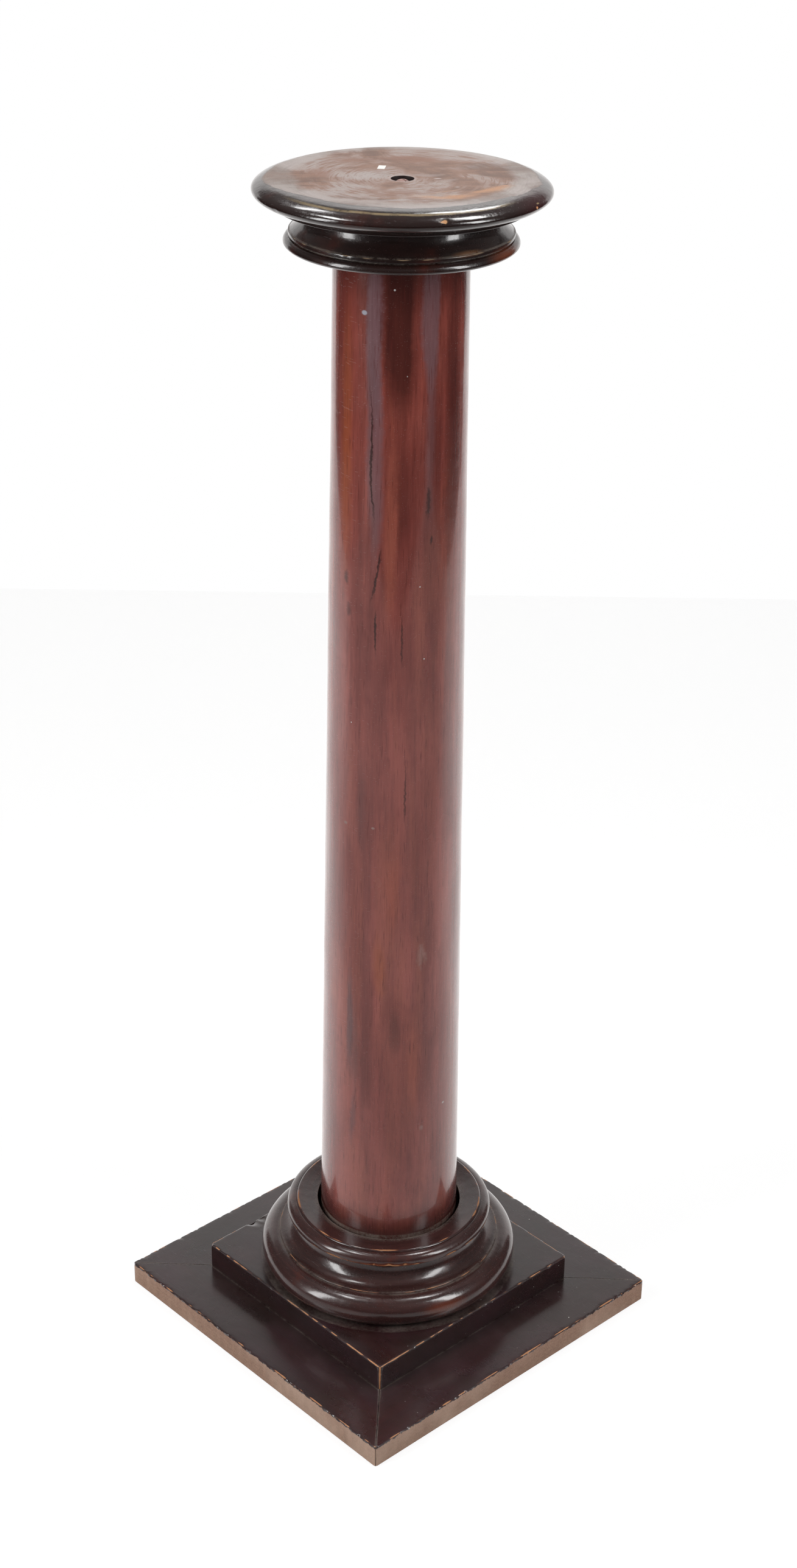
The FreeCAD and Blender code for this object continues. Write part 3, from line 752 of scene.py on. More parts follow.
def make_polish_group():
    """Height of an old brushed and rubbed polish: soft unevenness, small pits and hairline scratches."""
    inputs = [("Vector", VECTOR, None), ("Unevenness", FLOAT, 1.0), ("Scratches", FLOAT, 1.0)]
    outputs = [("Height", FLOAT), ("Dullness", FLOAT)]
    graph, given, out = new_group("Old Polish", inputs, outputs)
    soft = graph.noise(given["Vector"], 55.0, 3.0, 0.55)
    fine = graph.noise(given["Vector"], 700.0, 3.0, 0.6)
    height = graph.plus(graph.times(soft, 0.9), graph.times(fine, 0.12))
    height = graph.times(height, given["Unevenness"])
    lines = None
    for turn, seed in (((0.3, 0.5, 0.2), 3.1), ((1.2, -0.4, 0.9), 7.7)):
        mapped = graph.add(
            "ShaderNodeMapping",
            {
                "Vector": given["Vector"],
                "Location": (seed, seed, seed),
                "Rotation": turn,
                "Scale": (1.0, 14.0, 14.0),
            },
        ).outputs[0]
        found = graph.smooth(graph.noise(mapped, 70.0, 1.0, 0.4), 0.715, 0.74)
        lines = found if lines is None else graph.larger(lines, found)
    scratched = graph.times(lines, given["Scratches"])
    graph.put(out["Height"], graph.minus(height, graph.times(scratched, 0.25)))
    smears = graph.smooth(graph.noise(given["Vector"], 24.0, 4.0, 0.6), 0.35, 0.75)
    graph.put(out["Dullness"], graph.plus(graph.times(smears, 0.6), scratched, clamp=True))


def make_lathe_group():
    """Streaks that run around the upright axis, as on a turned face."""
    inputs = [("Vector", VECTOR, None), ("Around", FLOAT, 1.6), ("Across", FLOAT, 140.0)]
    graph, given, out = new_group("Turning Streaks", inputs, [("Streaks", FLOAT), ("Radius", FLOAT)])
    flat = graph.vector("MULTIPLY", given["Vector"], (1, 1, 0))
    radius = graph.vector("LENGTH", flat)
    spread = given["Around"]
    around = graph.vector("MULTIPLY", graph.vector("NORMALIZE", flat), graph.join(spread, spread, 0))
    lifted = graph.vector("ADD", around, graph.join(0, 0, graph.times(radius, given["Across"])))
    graph.put(out["Streaks"], graph.noise(lifted, 1.0, 4.0, 0.62))
    graph.put(out["Radius"], radius)


def make_groups():
    if "Spot Mark" in bpy.data.node_groups:
        return
    for make in (
        make_spot_group,
        make_grain_group,
        make_wear_group,
        make_dust_group,
        make_speck_group,
        make_polish_group,
        make_lathe_group,
    ):
        make()


def new_material(name):
    """A node material with its Principled shader, and the object's coordinates."""
    material = bpy.data.materials.new(name)
    material.use_nodes = True
    graph = Graph(material.node_tree)
    shader = material.node_tree.nodes["Principled BSDF"]
    position = graph.add("ShaderNodeTexCoord").outputs["Object"]
    return material, graph, shader, position


def set_shader(graph, shader, **values):
    for label, value in values.items():
        graph.put(shader.inputs[label.replace("_", " ")], value)


def bumped(graph, height, distance, strength=1.0):
    inputs = {"Height": height, "Distance": distance, "Strength": strength}
    return graph.add("ShaderNodeBump", inputs).outputs["Normal"]


def marks_over(graph, colour, position, marks):
    """Lays a table of soft marks over a colour.

    Each row is place (mm), half size (mm), turn (degrees), softness, colour and strength."""
    total = None
    for place, half, turn, softness, tint, strength in marks:
        spot = graph.use(
            "Spot Mark",
            Vector=position,
            Place=[v * MM for v in place],
            Half_Size=[v * MM for v in half],
            Turn=[math.radians(v) for v in turn],
            Softness=softness,
        )["Mask"]
        share = graph.times(spot, strength)
        colour = graph.mix(share, colour, tint)
        total = share if total is None else graph.larger(total, share)
    return colour, total


def edge_wear(graph, position, finishes):
    """Where the arrises of a piece are chipped bare, and where they are rubbed."""
    worn = graph.attribute("wear")
    return graph.use("Edge Wear", Vector=position, Wear=worn, Amount=finishes.wear, Break_Up=450.0)


def settled_dust(graph, position, finishes, hollow, film):
    """Where dust lies: in the hollows, and as a thin film on what faces up."""
    amount = finishes.dustiness
    return graph.use("Settled Dust", Vector=position, Hollow=hollow, Amount=amount, Film=film)["Mask"]


def column_radius(share):
    """The column's radius at that share of its height."""
    return COLUMN_FOOT_RADIUS + (COLUMN_HEAD_RADIUS - COLUMN_FOOT_RADIUS) * share


def shaft_mark(angle, height, half_width, half_height, tint, strength, softness=0.6, lean=0.0):
    """A row for marks_over: the mark lies in the column's surface and leans by so many degrees."""
    radius = column_radius((height - COLUMN_LOW) / (COLUMN_HIGH - COLUMN_LOW))
    turn = math.radians(angle)
    place = (radius * math.cos(turn), radius * math.sin(turn), height)
    return place, (12.0, half_width, half_height), (lean, 0.0, angle), softness, tint, strength


def veneer_material(finishes):
    """Glossy red-brown veneer with upright stripes and old marks, with painted reflections of the lamps and
    the floor, and painted shade under the capital and at the foot.
    """
    material, graph, shader, position = new_material("Column veneer")
    drawn_out = graph.vector("MULTIPLY", position, (1.0, 1.0, 0.3))
    wander = graph.sway(drawn_out, 26.0, 4.0)
    wander_up = graph.split(wander)[0]
    wavy = graph.vector("ADD", position, graph.vector("MULTIPLY", wander, (0.016, 0.016, 0.08)))
    jitter = graph.sway(position, 240.0, 3.0)
    wavy = graph.vector("ADD", wavy, graph.vector("MULTIPLY", jitter, (0.003, 0.003, 0.012)))
    grain = graph.use(
        "Wood Grain", Vector=position, Figure_Width=0.017, Pore_Width=0.0011, Stretch=20.0, Waviness=0.4
    )
    figure = graph.smooth(grain["Figure"], 0.0, 1.0, 0.32, 0.88)
    colour = graph.mix(figure, finishes.veneer_dark, finishes.veneer_red)
    ribbons = graph.use(
        "Wood Grain", Vector=wavy, Figure_Width=0.030, Pore_Width=0.004, Stretch=9.0, Waviness=0.8
    )
    glow = graph.times(graph.smooth(ribbons["Figure"], 0.45, 1.0), 0.5)
    colour = graph.mix(glow, colour, (0.28, 0.075, 0.042))
    height_up = graph.split(position)[2]
    # Painted reflection of the white floor: the column is made lighter and paler towards the bottom.
    painted_floor_reflection = graph.smooth(height_up, 0.62, 0.92, 0.35, 0.0)
    colour = graph.mix(painted_floor_reflection, colour, (0.25, 0.085, 0.078))
    cloudy = graph.noise(drawn_out, 19.0, 5.0, 0.62, 0.4)
    less = graph.smooth(cloudy, 0.36, 0.66, 0.84, 1.22)
    least = graph.smooth(cloudy, 0.36, 0.66, 0.72, 1.22)
    colour = graph.mix(1.0, colour, graph.join(less, least, least), "MULTIPLY")
    near_top = graph.plus(height_up, graph.times(wander_up, 0.12))
    shaded = graph.smooth(near_top, 0.95, 1.03, 0.0, 0.6)
    colour = graph.mix(shaded, colour, (0.040, 0.006, 0.005))
    # The pale mauve rows are painted reflections of the lamps and the floor. The dark row at 985 mm in
    # front is painted shade under the capital. The other rows are streaks and spots of the veneer.
    painted_reflection, dark, orange = tuple(finishes.veneer_painted_reflection), (0.030, 0.006, 0.005), (0.34, 0.085, 0.022)
    rows = [
        (-63, 900, 9, 160, painted_reflection, 0.7, 0.5),
        (-62, 965, 8, 110, painted_reflection, 0.85, 0.6),
        (-18, 990, 9, 90, painted_reflection, 0.8, 0.5),
        (-17, 900, 7, 90, painted_reflection, 0.35, 0.8),
        (-43, 985, 15, 110, dark, 0.75, 0.5),
        (-41, 850, 8, 80, dark, 0.35, 0.7),
        (8, 900, 11, 170, dark, 0.5, 0.6),
        (-50, 800, 9, 120, (0.40, 0.110, 0.070), 0.5, 0.8),
        (-24, 720, 8, 110, (0.34, 0.10, 0.07), 0.4, 0.8),
        (-70, 560, 7, 60, (0.10, 0.040, 0.040), 0.45, 0.8),
        (-76, 310, 7, 70, (0.09, 0.050, 0.055), 0.35, 0.8),
        (-44, 470, 10, 60, (0.36, 0.085, 0.050), 0.45, 0.8),
        (-25, 300, 9, 80, (0.34, 0.085, 0.050), 0.4, 0.8),
        (6, 640, 10, 190, dark, 0.3, 0.7),
        (-92, 860, 10, 150, orange, 0.45, 0.8),
        (-53.5, 403, 9, 30, orange, 0.35, 0.7),
        (-65.5, 860, 1.3, 70, dark, 0.9, 0.6, 1.0),
        (-60.5, 758, 1.2, 36, dark, 0.9, 0.6, -6.0),
        (-58.0, 704, 1.2, 24, dark, 0.9, 0.6, 4.0),
        (-38.5, 713, 1.0, 30, dark, 0.8, 0.7),
        (-35.2, 564, 1.0, 44, dark, 0.7, 0.7, -1.0),
        (-90, 748, 3.5, 9, dark, 0.7, 0.8),
        (-87, 722, 3.5, 9, dark, 0.6, 0.8),
        (-18.7, 842, 2.4, 18, dark, 0.8, 0.7),
        (-13.7, 805, 1.8, 9, dark, 0.8, 0.7),
        (-39.5, 338, 8, 36, dark, 0.4, 0.8),
        (-81, 338, 6, 62, (0.075, 0.050, 0.060), 0.6, 0.7),
        (-75, 235, 4, 40, (0.075, 0.050, 0.060), 0.45, 0.8),
        (-16.8, 401, 5.5, 9, (0.36, 0.22, 0.19), 0.45, 0.8),
    ]
    marks = [shaft_mark(*row) for row in rows]
    colour, _ = marks_over(graph, colour, wavy, marks)
    colour = graph.over(colour, grain["Pores"], 0.6, finishes.veneer_dark)
    fibre = graph.smooth(grain["Fibre"], 0.3, 0.7, 0.90, 1.09)
    colour = graph.shade(colour, fibre)
    pale = (0.62, 0.60, 0.60)
    nicks = [
        ((15, -52, 978), (3.0, 3.0, 2.4), (0, 0, 0), 0.5, (0.40, 0.44, 0.52), 0.8),
        ((3, -59, 532), (2.4, 2.4, 1.8), (0, 0, 0), 0.5, (0.28, 0.20, 0.18), 0.7),
        ((29, -51, 534), (2.0, 2.0, 1.5), (0, 0, 0), 0.5, (0.28, 0.20, 0.18), 0.7),
        ((62, 8, 245), (2.0, 2.0, 1.6), (0, 0, 0), 0.5, (0.45, 0.42, 0.42), 0.8),
        ((60, -17, 228), (3.0, 3.0, 4.0), (0, 0, 0), 0.8, (0.30, 0.20, 0.18), 0.5),
        ((36, -40, 998), (1.0, 1.0, 1.0), (0, 0, 0), 0.4, pale, 0.9),
        ((44, -33, 930), (0.8, 0.8, 0.8), (0, 0, 0), 0.4, pale, 0.9),
        ((52, -23, 754), (0.9, 0.9, 0.9), (0, 0, 0), 0.4, pale, 0.9),
        ((54, -19, 690), (0.8, 0.8, 0.8), (0, 0, 0), 0.4, pale, 0.9),
        ((8, -57, 628), (0.8, 0.8, 0.8), (0, 0, 0), 0.4, pale, 0.9),
    ]
    colour, nicked = marks_over(graph, colour, position, nicks)
    # Painted shade at the column's foot, with the dark reflection of the ring painted in: darker towards
    # the bottom.
    near_foot = graph.plus(height_up, graph.times(wander_up, 0.02))
    painted_foot_shade = graph.smooth(near_foot, 0.112, 0.150, 0.75, 0.0)
    colour = graph.mix(painted_foot_shade, colour, (0.014, 0.006, 0.006))
    foot_line = graph.smooth(height_up, 0.1122, 0.1142, 0.75, 0.0)
    dust = settled_dust(graph, position, finishes, foot_line, 0.0)
    colour = graph.over(colour, dust, 0.7, finishes.dust)
    polish = graph.use("Old Polish", Vector=position, Unevenness=1.0, Scratches=0.5)
    upright = graph.vector("MULTIPLY", position, (1.0, 1.0, 0.1))
    ripple = graph.noise(upright, 150.0, 2.0, 0.5)
    height = graph.plus(polish["Height"], graph.times(ripple, 0.35))
    height = graph.minus(height, graph.times(grain["Pores"], 0.1))
    dull = graph.larger(polish["Dullness"], nicked)
    set_shader(
        graph,
        shader,
        Base_Color=colour,
        Roughness=graph.blend(dull, 0.20, 0.34),
        Coat_Weight=graph.blend(graph.larger(dust, nicked), 0.50, 0.05),
        Coat_Roughness=0.06,
        Normal=bumped(graph, height, 0.0006, 0.5),
    )
    return material


def varnish_material(name, finishes, stain, worn_reds, bare_wood, rubbed_wood, marks):
    """Dark varnish over red wood, rubbed through on the arrises and dusty in the hollows."""
    material, graph, shader, position = new_material(name)
    grain = graph.use(
        "Wood Grain", Vector=position, Figure_Width=0.02, Pore_Width=0.0011, Stretch=8.0, Waviness=0.5
    )
    streaks = graph.use("Turning Streaks", Vector=position, Around=2.0, Across=260.0)
    thin = graph.smooth(graph.noise(position, 30.0, 4.0, 0.6), 0.52, 0.80)
    colour = graph.mix(graph.times(thin, worn_reds), stain, finishes.varnish_red)
    shade = graph.smooth(streaks["Streaks"], 0.3, 0.7, 0.75, 1.3)
    colour = graph.shade(colour, shade)
    wear = edge_wear(graph, position, finishes)
    colour, _ = marks_over(graph, colour, position, marks)
    rubbed = graph.mix(grain["Pores"], rubbed_wood, finishes.varnish_red)
    colour = graph.over(colour, wear["Rubbed"], 0.85, rubbed)
    bare = graph.mix(grain["Fibre"], [v * 0.55 for v in bare_wood], bare_wood)
    colour = graph.mix(wear["Bare"], colour, bare)
    dust = settled_dust(graph, position, finishes, graph.attribute("hollow"), 0.02)
    colour = graph.over(colour, dust, 0.8, finishes.dust)
    flecks = graph.use("Flecks", Vector=position, Spacing=0.02, Share=0.07, Size=0.04)["Mask"]
    colour = graph.over(colour, flecks, 0.8, (0.6, 0.58, 0.55))
    polish = graph.use("Old Polish", Vector=position, Unevenness=2.0, Scratches=0.5)
    matt = graph.larger(graph.larger(dust, wear["Bare"]), flecks)
    height = graph.plus(polish["Height"], graph.times(dust, 0.2))
    set_shader(
        graph,
        shader,
        Base_Color=colour,
        Roughness=graph.blend(matt, graph.blend(polish["Dullness"], 0.20, 0.36), 0.75),
        Coat_Weight=graph.blend(matt, 0.55, 0.0),
        Coat_Roughness=0.1,
        Normal=bumped(graph, height, 0.0005, 0.5),
    )
    return material


def plate_material(finishes):
    """The round top: a worn, waxed flat inside a dark varnished edge."""
    material, graph, shader, position = new_material("Worn round top")
    height = graph.split(position)[2]
    along = graph.vector("DOT_PRODUCT", position, ASIDE)
    across = graph.vector("DOT_PRODUCT", position, [-v for v in AHEAD])
    grain_vector = graph.join(across, height, along)
    streaks = graph.use("Turning Streaks", Vector=position, Around=1.3, Across=95.0)
    fine = graph.use("Turning Streaks", Vector=position, Around=3.0, Across=520.0)
    radius = streaks["Radius"]
    facing = graph.smooth(graph.facing_up(), 0.75, 0.98)
    above = graph.math("GREATER_THAN", height, 1.0600)
    up = graph.times(facing, above)
    wander = graph.minus(graph.noise(position, 26.0, 5.0, 0.65), 0.5)
    outward = graph.vector("NORMALIZE", graph.vector("MULTIPLY", position, (1, 1, 0)))
    frontness = graph.vector("DOT_PRODUCT", outward, AHEAD)
    edge = graph.plus(radius, graph.times(wander, 0.011))
    limit = graph.smooth(frontness, 0.0, 0.9, 0.1075, 0.0905)
    past = graph.minus(edge, limit)
    flat = graph.times(graph.smooth(past, -0.0022, 0.0004, 1.0, 0.0), up)
    thin = graph.smooth(graph.noise(position, 26.0, 4.0, 0.6), 0.5, 0.8)
    colour = graph.mix(graph.times(thin, 0.45), finishes.varnish_dark, finishes.varnish_red)
    wear = edge_wear(graph, position, finishes)
    colour = graph.over(colour, wear["Rubbed"], 0.8, (0.17, 0.10, 0.052))
    colour = graph.mix(wear["Bare"], colour, (0.50, 0.25, 0.10))
    # A broken tan line round the nose on the side seen most. It is partly rubbed wear and partly a painted
    # reflection, so it fades out towards the sides.
    near_ring = graph.plus(radius, graph.times(wander, 0.004))
    line = graph.math("ABSOLUTE", graph.minus(near_ring, 0.1050))
    line = graph.times(graph.smooth(line, 0.0006, 0.0030, 0.9, 0.0), graph.smooth(frontness, 0.50, 0.85))
    broken = graph.smooth(graph.noise(position, 90.0, 4.0, 0.6), 0.30, 0.52, 0.25, 0.9)
    line = graph.times(graph.times(line, broken), above)
    colour = graph.mix(line, colour, (0.30, 0.225, 0.125))
    grain = graph.use(
        "Wood Grain", Vector=grain_vector, Figure_Width=0.009, Pore_Width=0.0009, Stretch=7.0, Waviness=0.8
    )
    cloud = graph.noise(position, 17.0, 5.0, 0.62, 0.5)
    centre = graph.smooth(radius, 0.030, 0.075, 1.0, 0.35)
    rings = graph.blend(centre, grain["Figure"], streaks["Streaks"])
    patch = graph.plus(graph.times(cloud, 0.8), graph.times(rings, 0.28))
    wood = graph.mix(graph.smooth(patch, 0.38, 0.58), (0.19, 0.118, 0.092), finishes.worn_top)
    grey = graph.mix(graph.smooth(fine["Streaks"], 0.3, 0.7), (0.33, 0.28, 0.26), finishes.worn_grey)
    worn = graph.mix(graph.smooth(patch, 0.60, 0.74, 0.0, 0.8), wood, grey)
    arcs = graph.smooth(fine["Streaks"], 0.50, 0.60, 0.75, 0.0)
    arcs = graph.times(arcs, graph.smooth(cloud, 0.44, 0.62))
    worn = graph.mix(arcs, worn, finishes.worn_grey)
    dirt = graph.times(graph.smooth(fine["Streaks"], 0.48, 0.75), 0.36)
    worn = graph.mix(dirt, worn, (0.15, 0.10, 0.085))
    worn = graph.over(worn, grain["Pores"], 0.22, (0.13, 0.08, 0.065))
    shift = graph.sway(position, 45.0, 4.0)
    strayed = graph.vector("ADD", position, graph.vector("MULTIPLY", shift, (0.030, 0.030, 0.0)))
    wax, brown, red = tuple(finishes.worn_grey), (0.17, 0.108, 0.086), (0.27, 0.145, 0.105)
    orange = (0.52, 0.285, 0.165)
    marks = [
        ((-24, -20, 1070), (22, 13, 9), (0, 0, 40), 0.9, wax, 0.75),
        ((27, 12, 1070), (20, 8, 9), (0, 0, 70), 0.9, wax, 0.5),
        ((2, 22, 1070), (16, 5, 9), (0, 0, 30), 0.9, wax, 0.45),
        ((-50, -40, 1070), (16, 22, 9), (0, 0, 40), 0.8, red, 0.8),
        ((-42, -58, 1070), (18, 14, 9), (0, 0, 40), 0.9, brown, 0.7),
        ((-70, 10, 1070), (34, 11, 9), (0, 0, 60), 0.8, red, 0.75),
        ((-38, 48, 1070), (40, 13, 9), (0, 0, 46), 0.8, red, 0.8),
        ((14, 70, 1070), (34, 14, 9), (0, 0, 44), 0.9, brown, 0.7),
        ((47, 65, 1070), (24, 12, 9), (0, 0, 30), 0.9, brown, 0.6),
        ((70, 30, 1070), (36, 10, 9), (0, 0, 78), 0.8, orange, 0.85),
        ((62, -12, 1070), (34, 9, 9), (0, 0, 56), 0.9, orange, 0.8),
        ((34, -34, 1070), (26, 8, 9), (0, 0, 46), 0.9, red, 0.6),
        ((20, -66, 1070), (40, 5, 9), (0, 0, 30), 0.8, brown, 0.5),
        ((43, -53, 1070), (30, 4, 9), (0, 0, 46), 0.8, wax, 0.75),
        ((8, -82, 1070), (34, 5, 9), (0, 0, 14), 0.8, wax, 0.75),
        ((34, -70, 1070), (40, 9, 9), (0, 0, 30), 0.8, wax, 0.7),
        ((62, -52, 1070), (24, 7, 9), (0, 0, 52), 0.8, wax, 0.6),
        ((-8, -44, 1070), (30, 7, 9), (0, 0, 10), 0.9, wax, 0.6),
    ]
    worn, _ = marks_over(graph, worn, strayed, marks)
    inner = graph.minus(0.0865, graph.times(frontness, 0.0085))
    beyond = graph.minus(graph.plus(edge, graph.times(wander, 0.022)), inner)
    satin = graph.smooth(beyond, -0.006, 0.006)
    rim_grey = graph.mix(graph.smooth(cloud, 0.35, 0.6), (0.25, 0.215, 0.195), finishes.worn_grey)
    rim_grey = graph.mix(dirt, rim_grey, (0.20, 0.15, 0.13))
    dulled = graph.times(satin, graph.smooth(cloud, 0.30, 0.52, 0.35, 0.95))
    worn = graph.mix(dulled, worn, rim_grey)
    grit = graph.smooth(graph.noise(position, 1300.0, 3.0, 0.7), 0.25, 0.75, 0.82, 1.16)
    worn = graph.shade(worn, grit)
    maroon = [((96, 42, 1064), (30, 44, 12), (0, 0, 24), 0.8, (0.050, 0.010, 0.012), 0.8)]
    colour, _ = marks_over(graph, colour, position, maroon)
    colour = graph.mix(flat, colour, worn)
    flake = graph.add(
        "ShaderNodeMapping",
        {
            "Vector": position,
            "Location": (-0.0363, 0.0115, 1.07),
            "Rotation": (0, 0, math.radians(130)),
            "Scale": (0.0056, 0.0029, 0.01),
        },
        vector_type="TEXTURE",
    ).outputs[0]
    long_way, wide_way, _ = graph.split(graph.vector("ABSOLUTE", flake))
    flake = graph.math("LESS_THAN", graph.larger(long_way, wide_way), 1.0)
    colour = graph.mix(graph.times(flake, up), colour, (0.88, 0.86, 0.83))
    scratches = [
        ((50, -2, 1069), (27, 0.9, 4), (0, 0, 78), 0.9, (0.58, 0.34, 0.20), 0.6),
        ((66, 44, 1069), (9, 1.0, 4), (0, 0, 78), 0.8, (0.66, 0.33, 0.16), 0.9),
        ((18, 20, 1069), (4.2, 1.6, 4), (0, 0, 60), 0.6, (0.62, 0.56, 0.54), 0.9),
        ((46, 14, 1069), (3.0, 1.6, 4), (0, 0, 60), 0.7, (0.52, 0.46, 0.43), 0.8),
        ((111.2, 34.5, 1063.6), (1.6, 1.6, 1.4), (0, 0, 0), 0.4, (0.72, 0.34, 0.16), 1.0),
        ((109, 38, 1066.0), (2.0, 3.4, 0.9), (0, 0, 17), 0.6, (0.40, 0.30, 0.16), 0.8),
    ]
    colour, _ = marks_over(graph, colour, position, scratches)
    lip = graph.times(graph.smooth(radius, 0.0094, 0.0125, 0.55, 0.0), up)
    colour = graph.mix(lip, colour, (0.46, 0.37, 0.34))
    # Painted shade in the counterbore: its walls and floor are made near black.
    painted_hole_shade = graph.times(graph.math("LESS_THAN", radius, 0.0091), above)
    colour = graph.mix(painted_hole_shade, colour, (0.014, 0.006, 0.005))
    dust = settled_dust(graph, position, finishes, graph.attribute("hollow"), 0.02)
    dust = graph.times(dust, graph.minus(1.0, painted_hole_shade))
    colour = graph.over(colour, dust, 0.6, finishes.dust)
    polish = graph.use("Old Polish", Vector=position, Unevenness=2.2, Scratches=0.5)
    matt = graph.larger(graph.larger(flat, wear["Bare"]), graph.larger(dust, painted_hole_shade))
    turning = graph.times(fine["Streaks"], graph.blend(flat, 0.0, 0.9))
    relief = graph.plus(polish["Height"], turning)
    shine = graph.blend(polish["Dullness"], 0.16, 0.30)
    set_shader(
        graph,
        shader,
        Base_Color=colour,
        Roughness=graph.blend(matt, shine, graph.blend(satin, 0.56, 0.42)),
        Coat_Weight=graph.blend(matt, 0.6, 0.0),
        Coat_Roughness=0.1,
        Normal=bumped(graph, relief, 0.0005, 0.5),
    )
    return material


def foot_material(finishes, name, along_x, sawn):
    """Satin purple-brown stain of the block and the boards, with the bare sawn edge of the boards."""
    material, graph, shader, position = new_material(name)
    x, y, z = graph.split(position)
    grain_vector = graph.join(z, y, x) if along_x else graph.join(x, z, y)
    grain = graph.use(
        "Wood Grain", Vector=grain_vector, Figure_Width=0.016, Pore_Width=0.0009, Stretch=26.0, Waviness=0.4
    )
    patchy = graph.noise(position, 18.0, 4.0, 0.6)
    colour = graph.mix(graph.smooth(patchy, 0.3, 0.75), finishes.varnish_dark, finishes.foot_stain)
    colour = graph.over(colour, grain["Figure"], 0.10, finishes.varnish_red)
    colour = graph.over(colour, grain["Pores"], 0.5, (0.008, 0.004, 0.004))
    wear = edge_wear(graph, position, finishes)
    colour = graph.over(colour, wear["Rubbed"], 0.6, (0.13, 0.048, 0.028))
    bare = graph.mix(grain["Fibre"], (0.46, 0.22, 0.11), finishes.bare_wood)
    colour = graph.mix(wear["Bare"], colour, bare)
    polish = graph.use("Old Polish", Vector=position, Unevenness=1.0, Scratches=1.0)
    specks = graph.use("Flecks", Vector=position, Spacing=0.008, Share=0.6, Size=0.085)["Mask"]
    half = graph.plus(x, y)
    sprinkled = graph.times(specks, graph.smooth(half, -0.06, 0.16, 0.03, 1.0))
    colour = graph.over(colour, sprinkled, 0.85, (0.62, 0.60, 0.57))
    if sawn:
        side_x, side_y = graph.math("ABSOLUTE", x), graph.math("ABSOLUTE", y)
        away = graph.minus(graph.larger(side_x, side_y), 0.120)
        mitre = graph.math("ABSOLUTE", graph.minus(side_x, side_y))
        mitre = graph.smooth(mitre, 0.0006, 0.0022, 0.55, 0.0)
    else:
        radius = graph.vector("LENGTH", graph.vector("MULTIPLY", position, (1, 1, 0)))
        away, mitre = graph.minus(radius, 0.1195), 0.0
    top = graph.smooth(graph.facing_up(), 0.5, 0.9)
    close_by = graph.smooth(away, 0.0003, 0.0016, 0.35, 0.0)
    hollow = graph.plus(close_by, graph.smooth(away, 0.0, 0.030, 0.03, 0.0))
    hollow = graph.times(graph.plus(hollow, mitre), top)
    dust = settled_dust(graph, position, finishes, hollow, 0.02)
    colour = graph.over(colour, dust, 0.7, finishes.dust)
    rough = graph.blend(polish["Dullness"], 0.26, 0.40)
    matt = graph.larger(graph.larger(dust, wear["Bare"]), sprinkled)
    height = polish["Height"]
    if sawn:
        ragged = graph.minus(graph.noise(position, 170.0, 5.0, 0.7), 0.5)
        border = graph.plus(z, graph.times(ragged, 0.0075))
        border = graph.smooth(border, 0.0200, 0.0206, 1.0, 0.0)
        bare = graph.times(graph.smooth(graph.attribute("bare"), 0.4, 0.6), border)
        saw_vector = graph.vector("MULTIPLY", position, (1.0, 1.0, 0.28))
        teeth = graph.noise(saw_vector, 1700.0, 2.0, 0.6)
        cross = graph.noise(graph.vector("MULTIPLY", position, (1.0, 1.0, 9.0)), 160.0, 3.0, 0.6)
        tone = graph.plus(graph.times(teeth, 0.6), graph.times(cross, 0.4))
        tone = graph.smooth(tone, 0.3, 0.7)
        sawn_colour = graph.mix(tone, (0.23, 0.128, 0.088), finishes.sawn_edge)
        pale = graph.smooth(graph.noise(position, 14.0, 3.0), 0.42, 0.7, 0.0, 0.55)
        sawn_colour = graph.mix(pale, sawn_colour, (0.56, 0.40, 0.31))
        colour = graph.mix(bare, colour, sawn_colour)
        height = graph.plus(height, graph.times(graph.times(teeth, bare), 1.2))
        matt = graph.larger(matt, bare)
    set_shader(
        graph,
        shader,
        Base_Color=colour,
        Roughness=graph.blend(matt, rough, 0.8),
        Specular_IOR_Level=0.6,
        Coat_Weight=graph.blend(matt, 0.85, 0.0),
        Coat_Roughness=0.18,
        Normal=bumped(graph, height, 0.0005, 0.5),
    )
    return material


def pine_material(finishes):
    """Plain pine of the hidden staves, plugs, splines and glue blocks, with a little dust."""
    material, graph, shader, position = new_material("Carcase pine")
    grain = graph.use(
        "Wood Grain", Vector=position, Figure_Width=0.010, Pore_Width=0.0014, Stretch=14.0, Waviness=0.6
    )
    colour = graph.mix(grain["Figure"], finishes.pine, (0.36, 0.18, 0.075))
    colour = graph.over(colour, grain["Pores"], 0.4, (0.22, 0.11, 0.05))
    dust = settled_dust(graph, position, finishes, 0.15, 0.2)
    colour = graph.over(colour, dust, 0.6, finishes.dust)
    set_shader(
        graph,
        shader,
        Base_Color=colour,
        Roughness=graph.blend(grain["Fibre"], 0.55, 0.8),
        Normal=bumped(graph, grain["Fibre"], 0.0004, 0.5),
    )
    return material


def steel_material(finishes):
    """Dull, spotted steel of the screws, bolt and washer, with old polish caked on the head in the top."""
    material, graph, shader, position = new_material("Old steel")
    rust = graph.smooth(graph.noise(position, 700.0, 5.0, 0.7), 0.46, 0.68)
    colour = graph.mix(rust, finishes.steel, (0.17, 0.085, 0.055))
    caked = graph.smooth(graph.split(position)[2], 1.066, 1.0675)
    caked = graph.times(caked, graph.smooth(graph.noise(position, 500.0, 4.0, 0.7), 0.30, 0.5))
    colour = graph.mix(caked, colour, (0.40, 0.26, 0.23))
    rust = graph.larger(rust, caked)
    polish = graph.use("Old Polish", Vector=position, Unevenness=0.4, Scratches=1.0)
    set_shader(
        graph,
        shader,
        Base_Color=colour,
        Metallic=graph.blend(rust, 0.9, 0.15),
        Roughness=graph.blend(rust, 0.38, 0.8),
        Normal=bumped(graph, polish["Height"], 0.0003, 0.6),
    )
    return material


# ---------------------------------------------------------------- profiles of the turned pieces


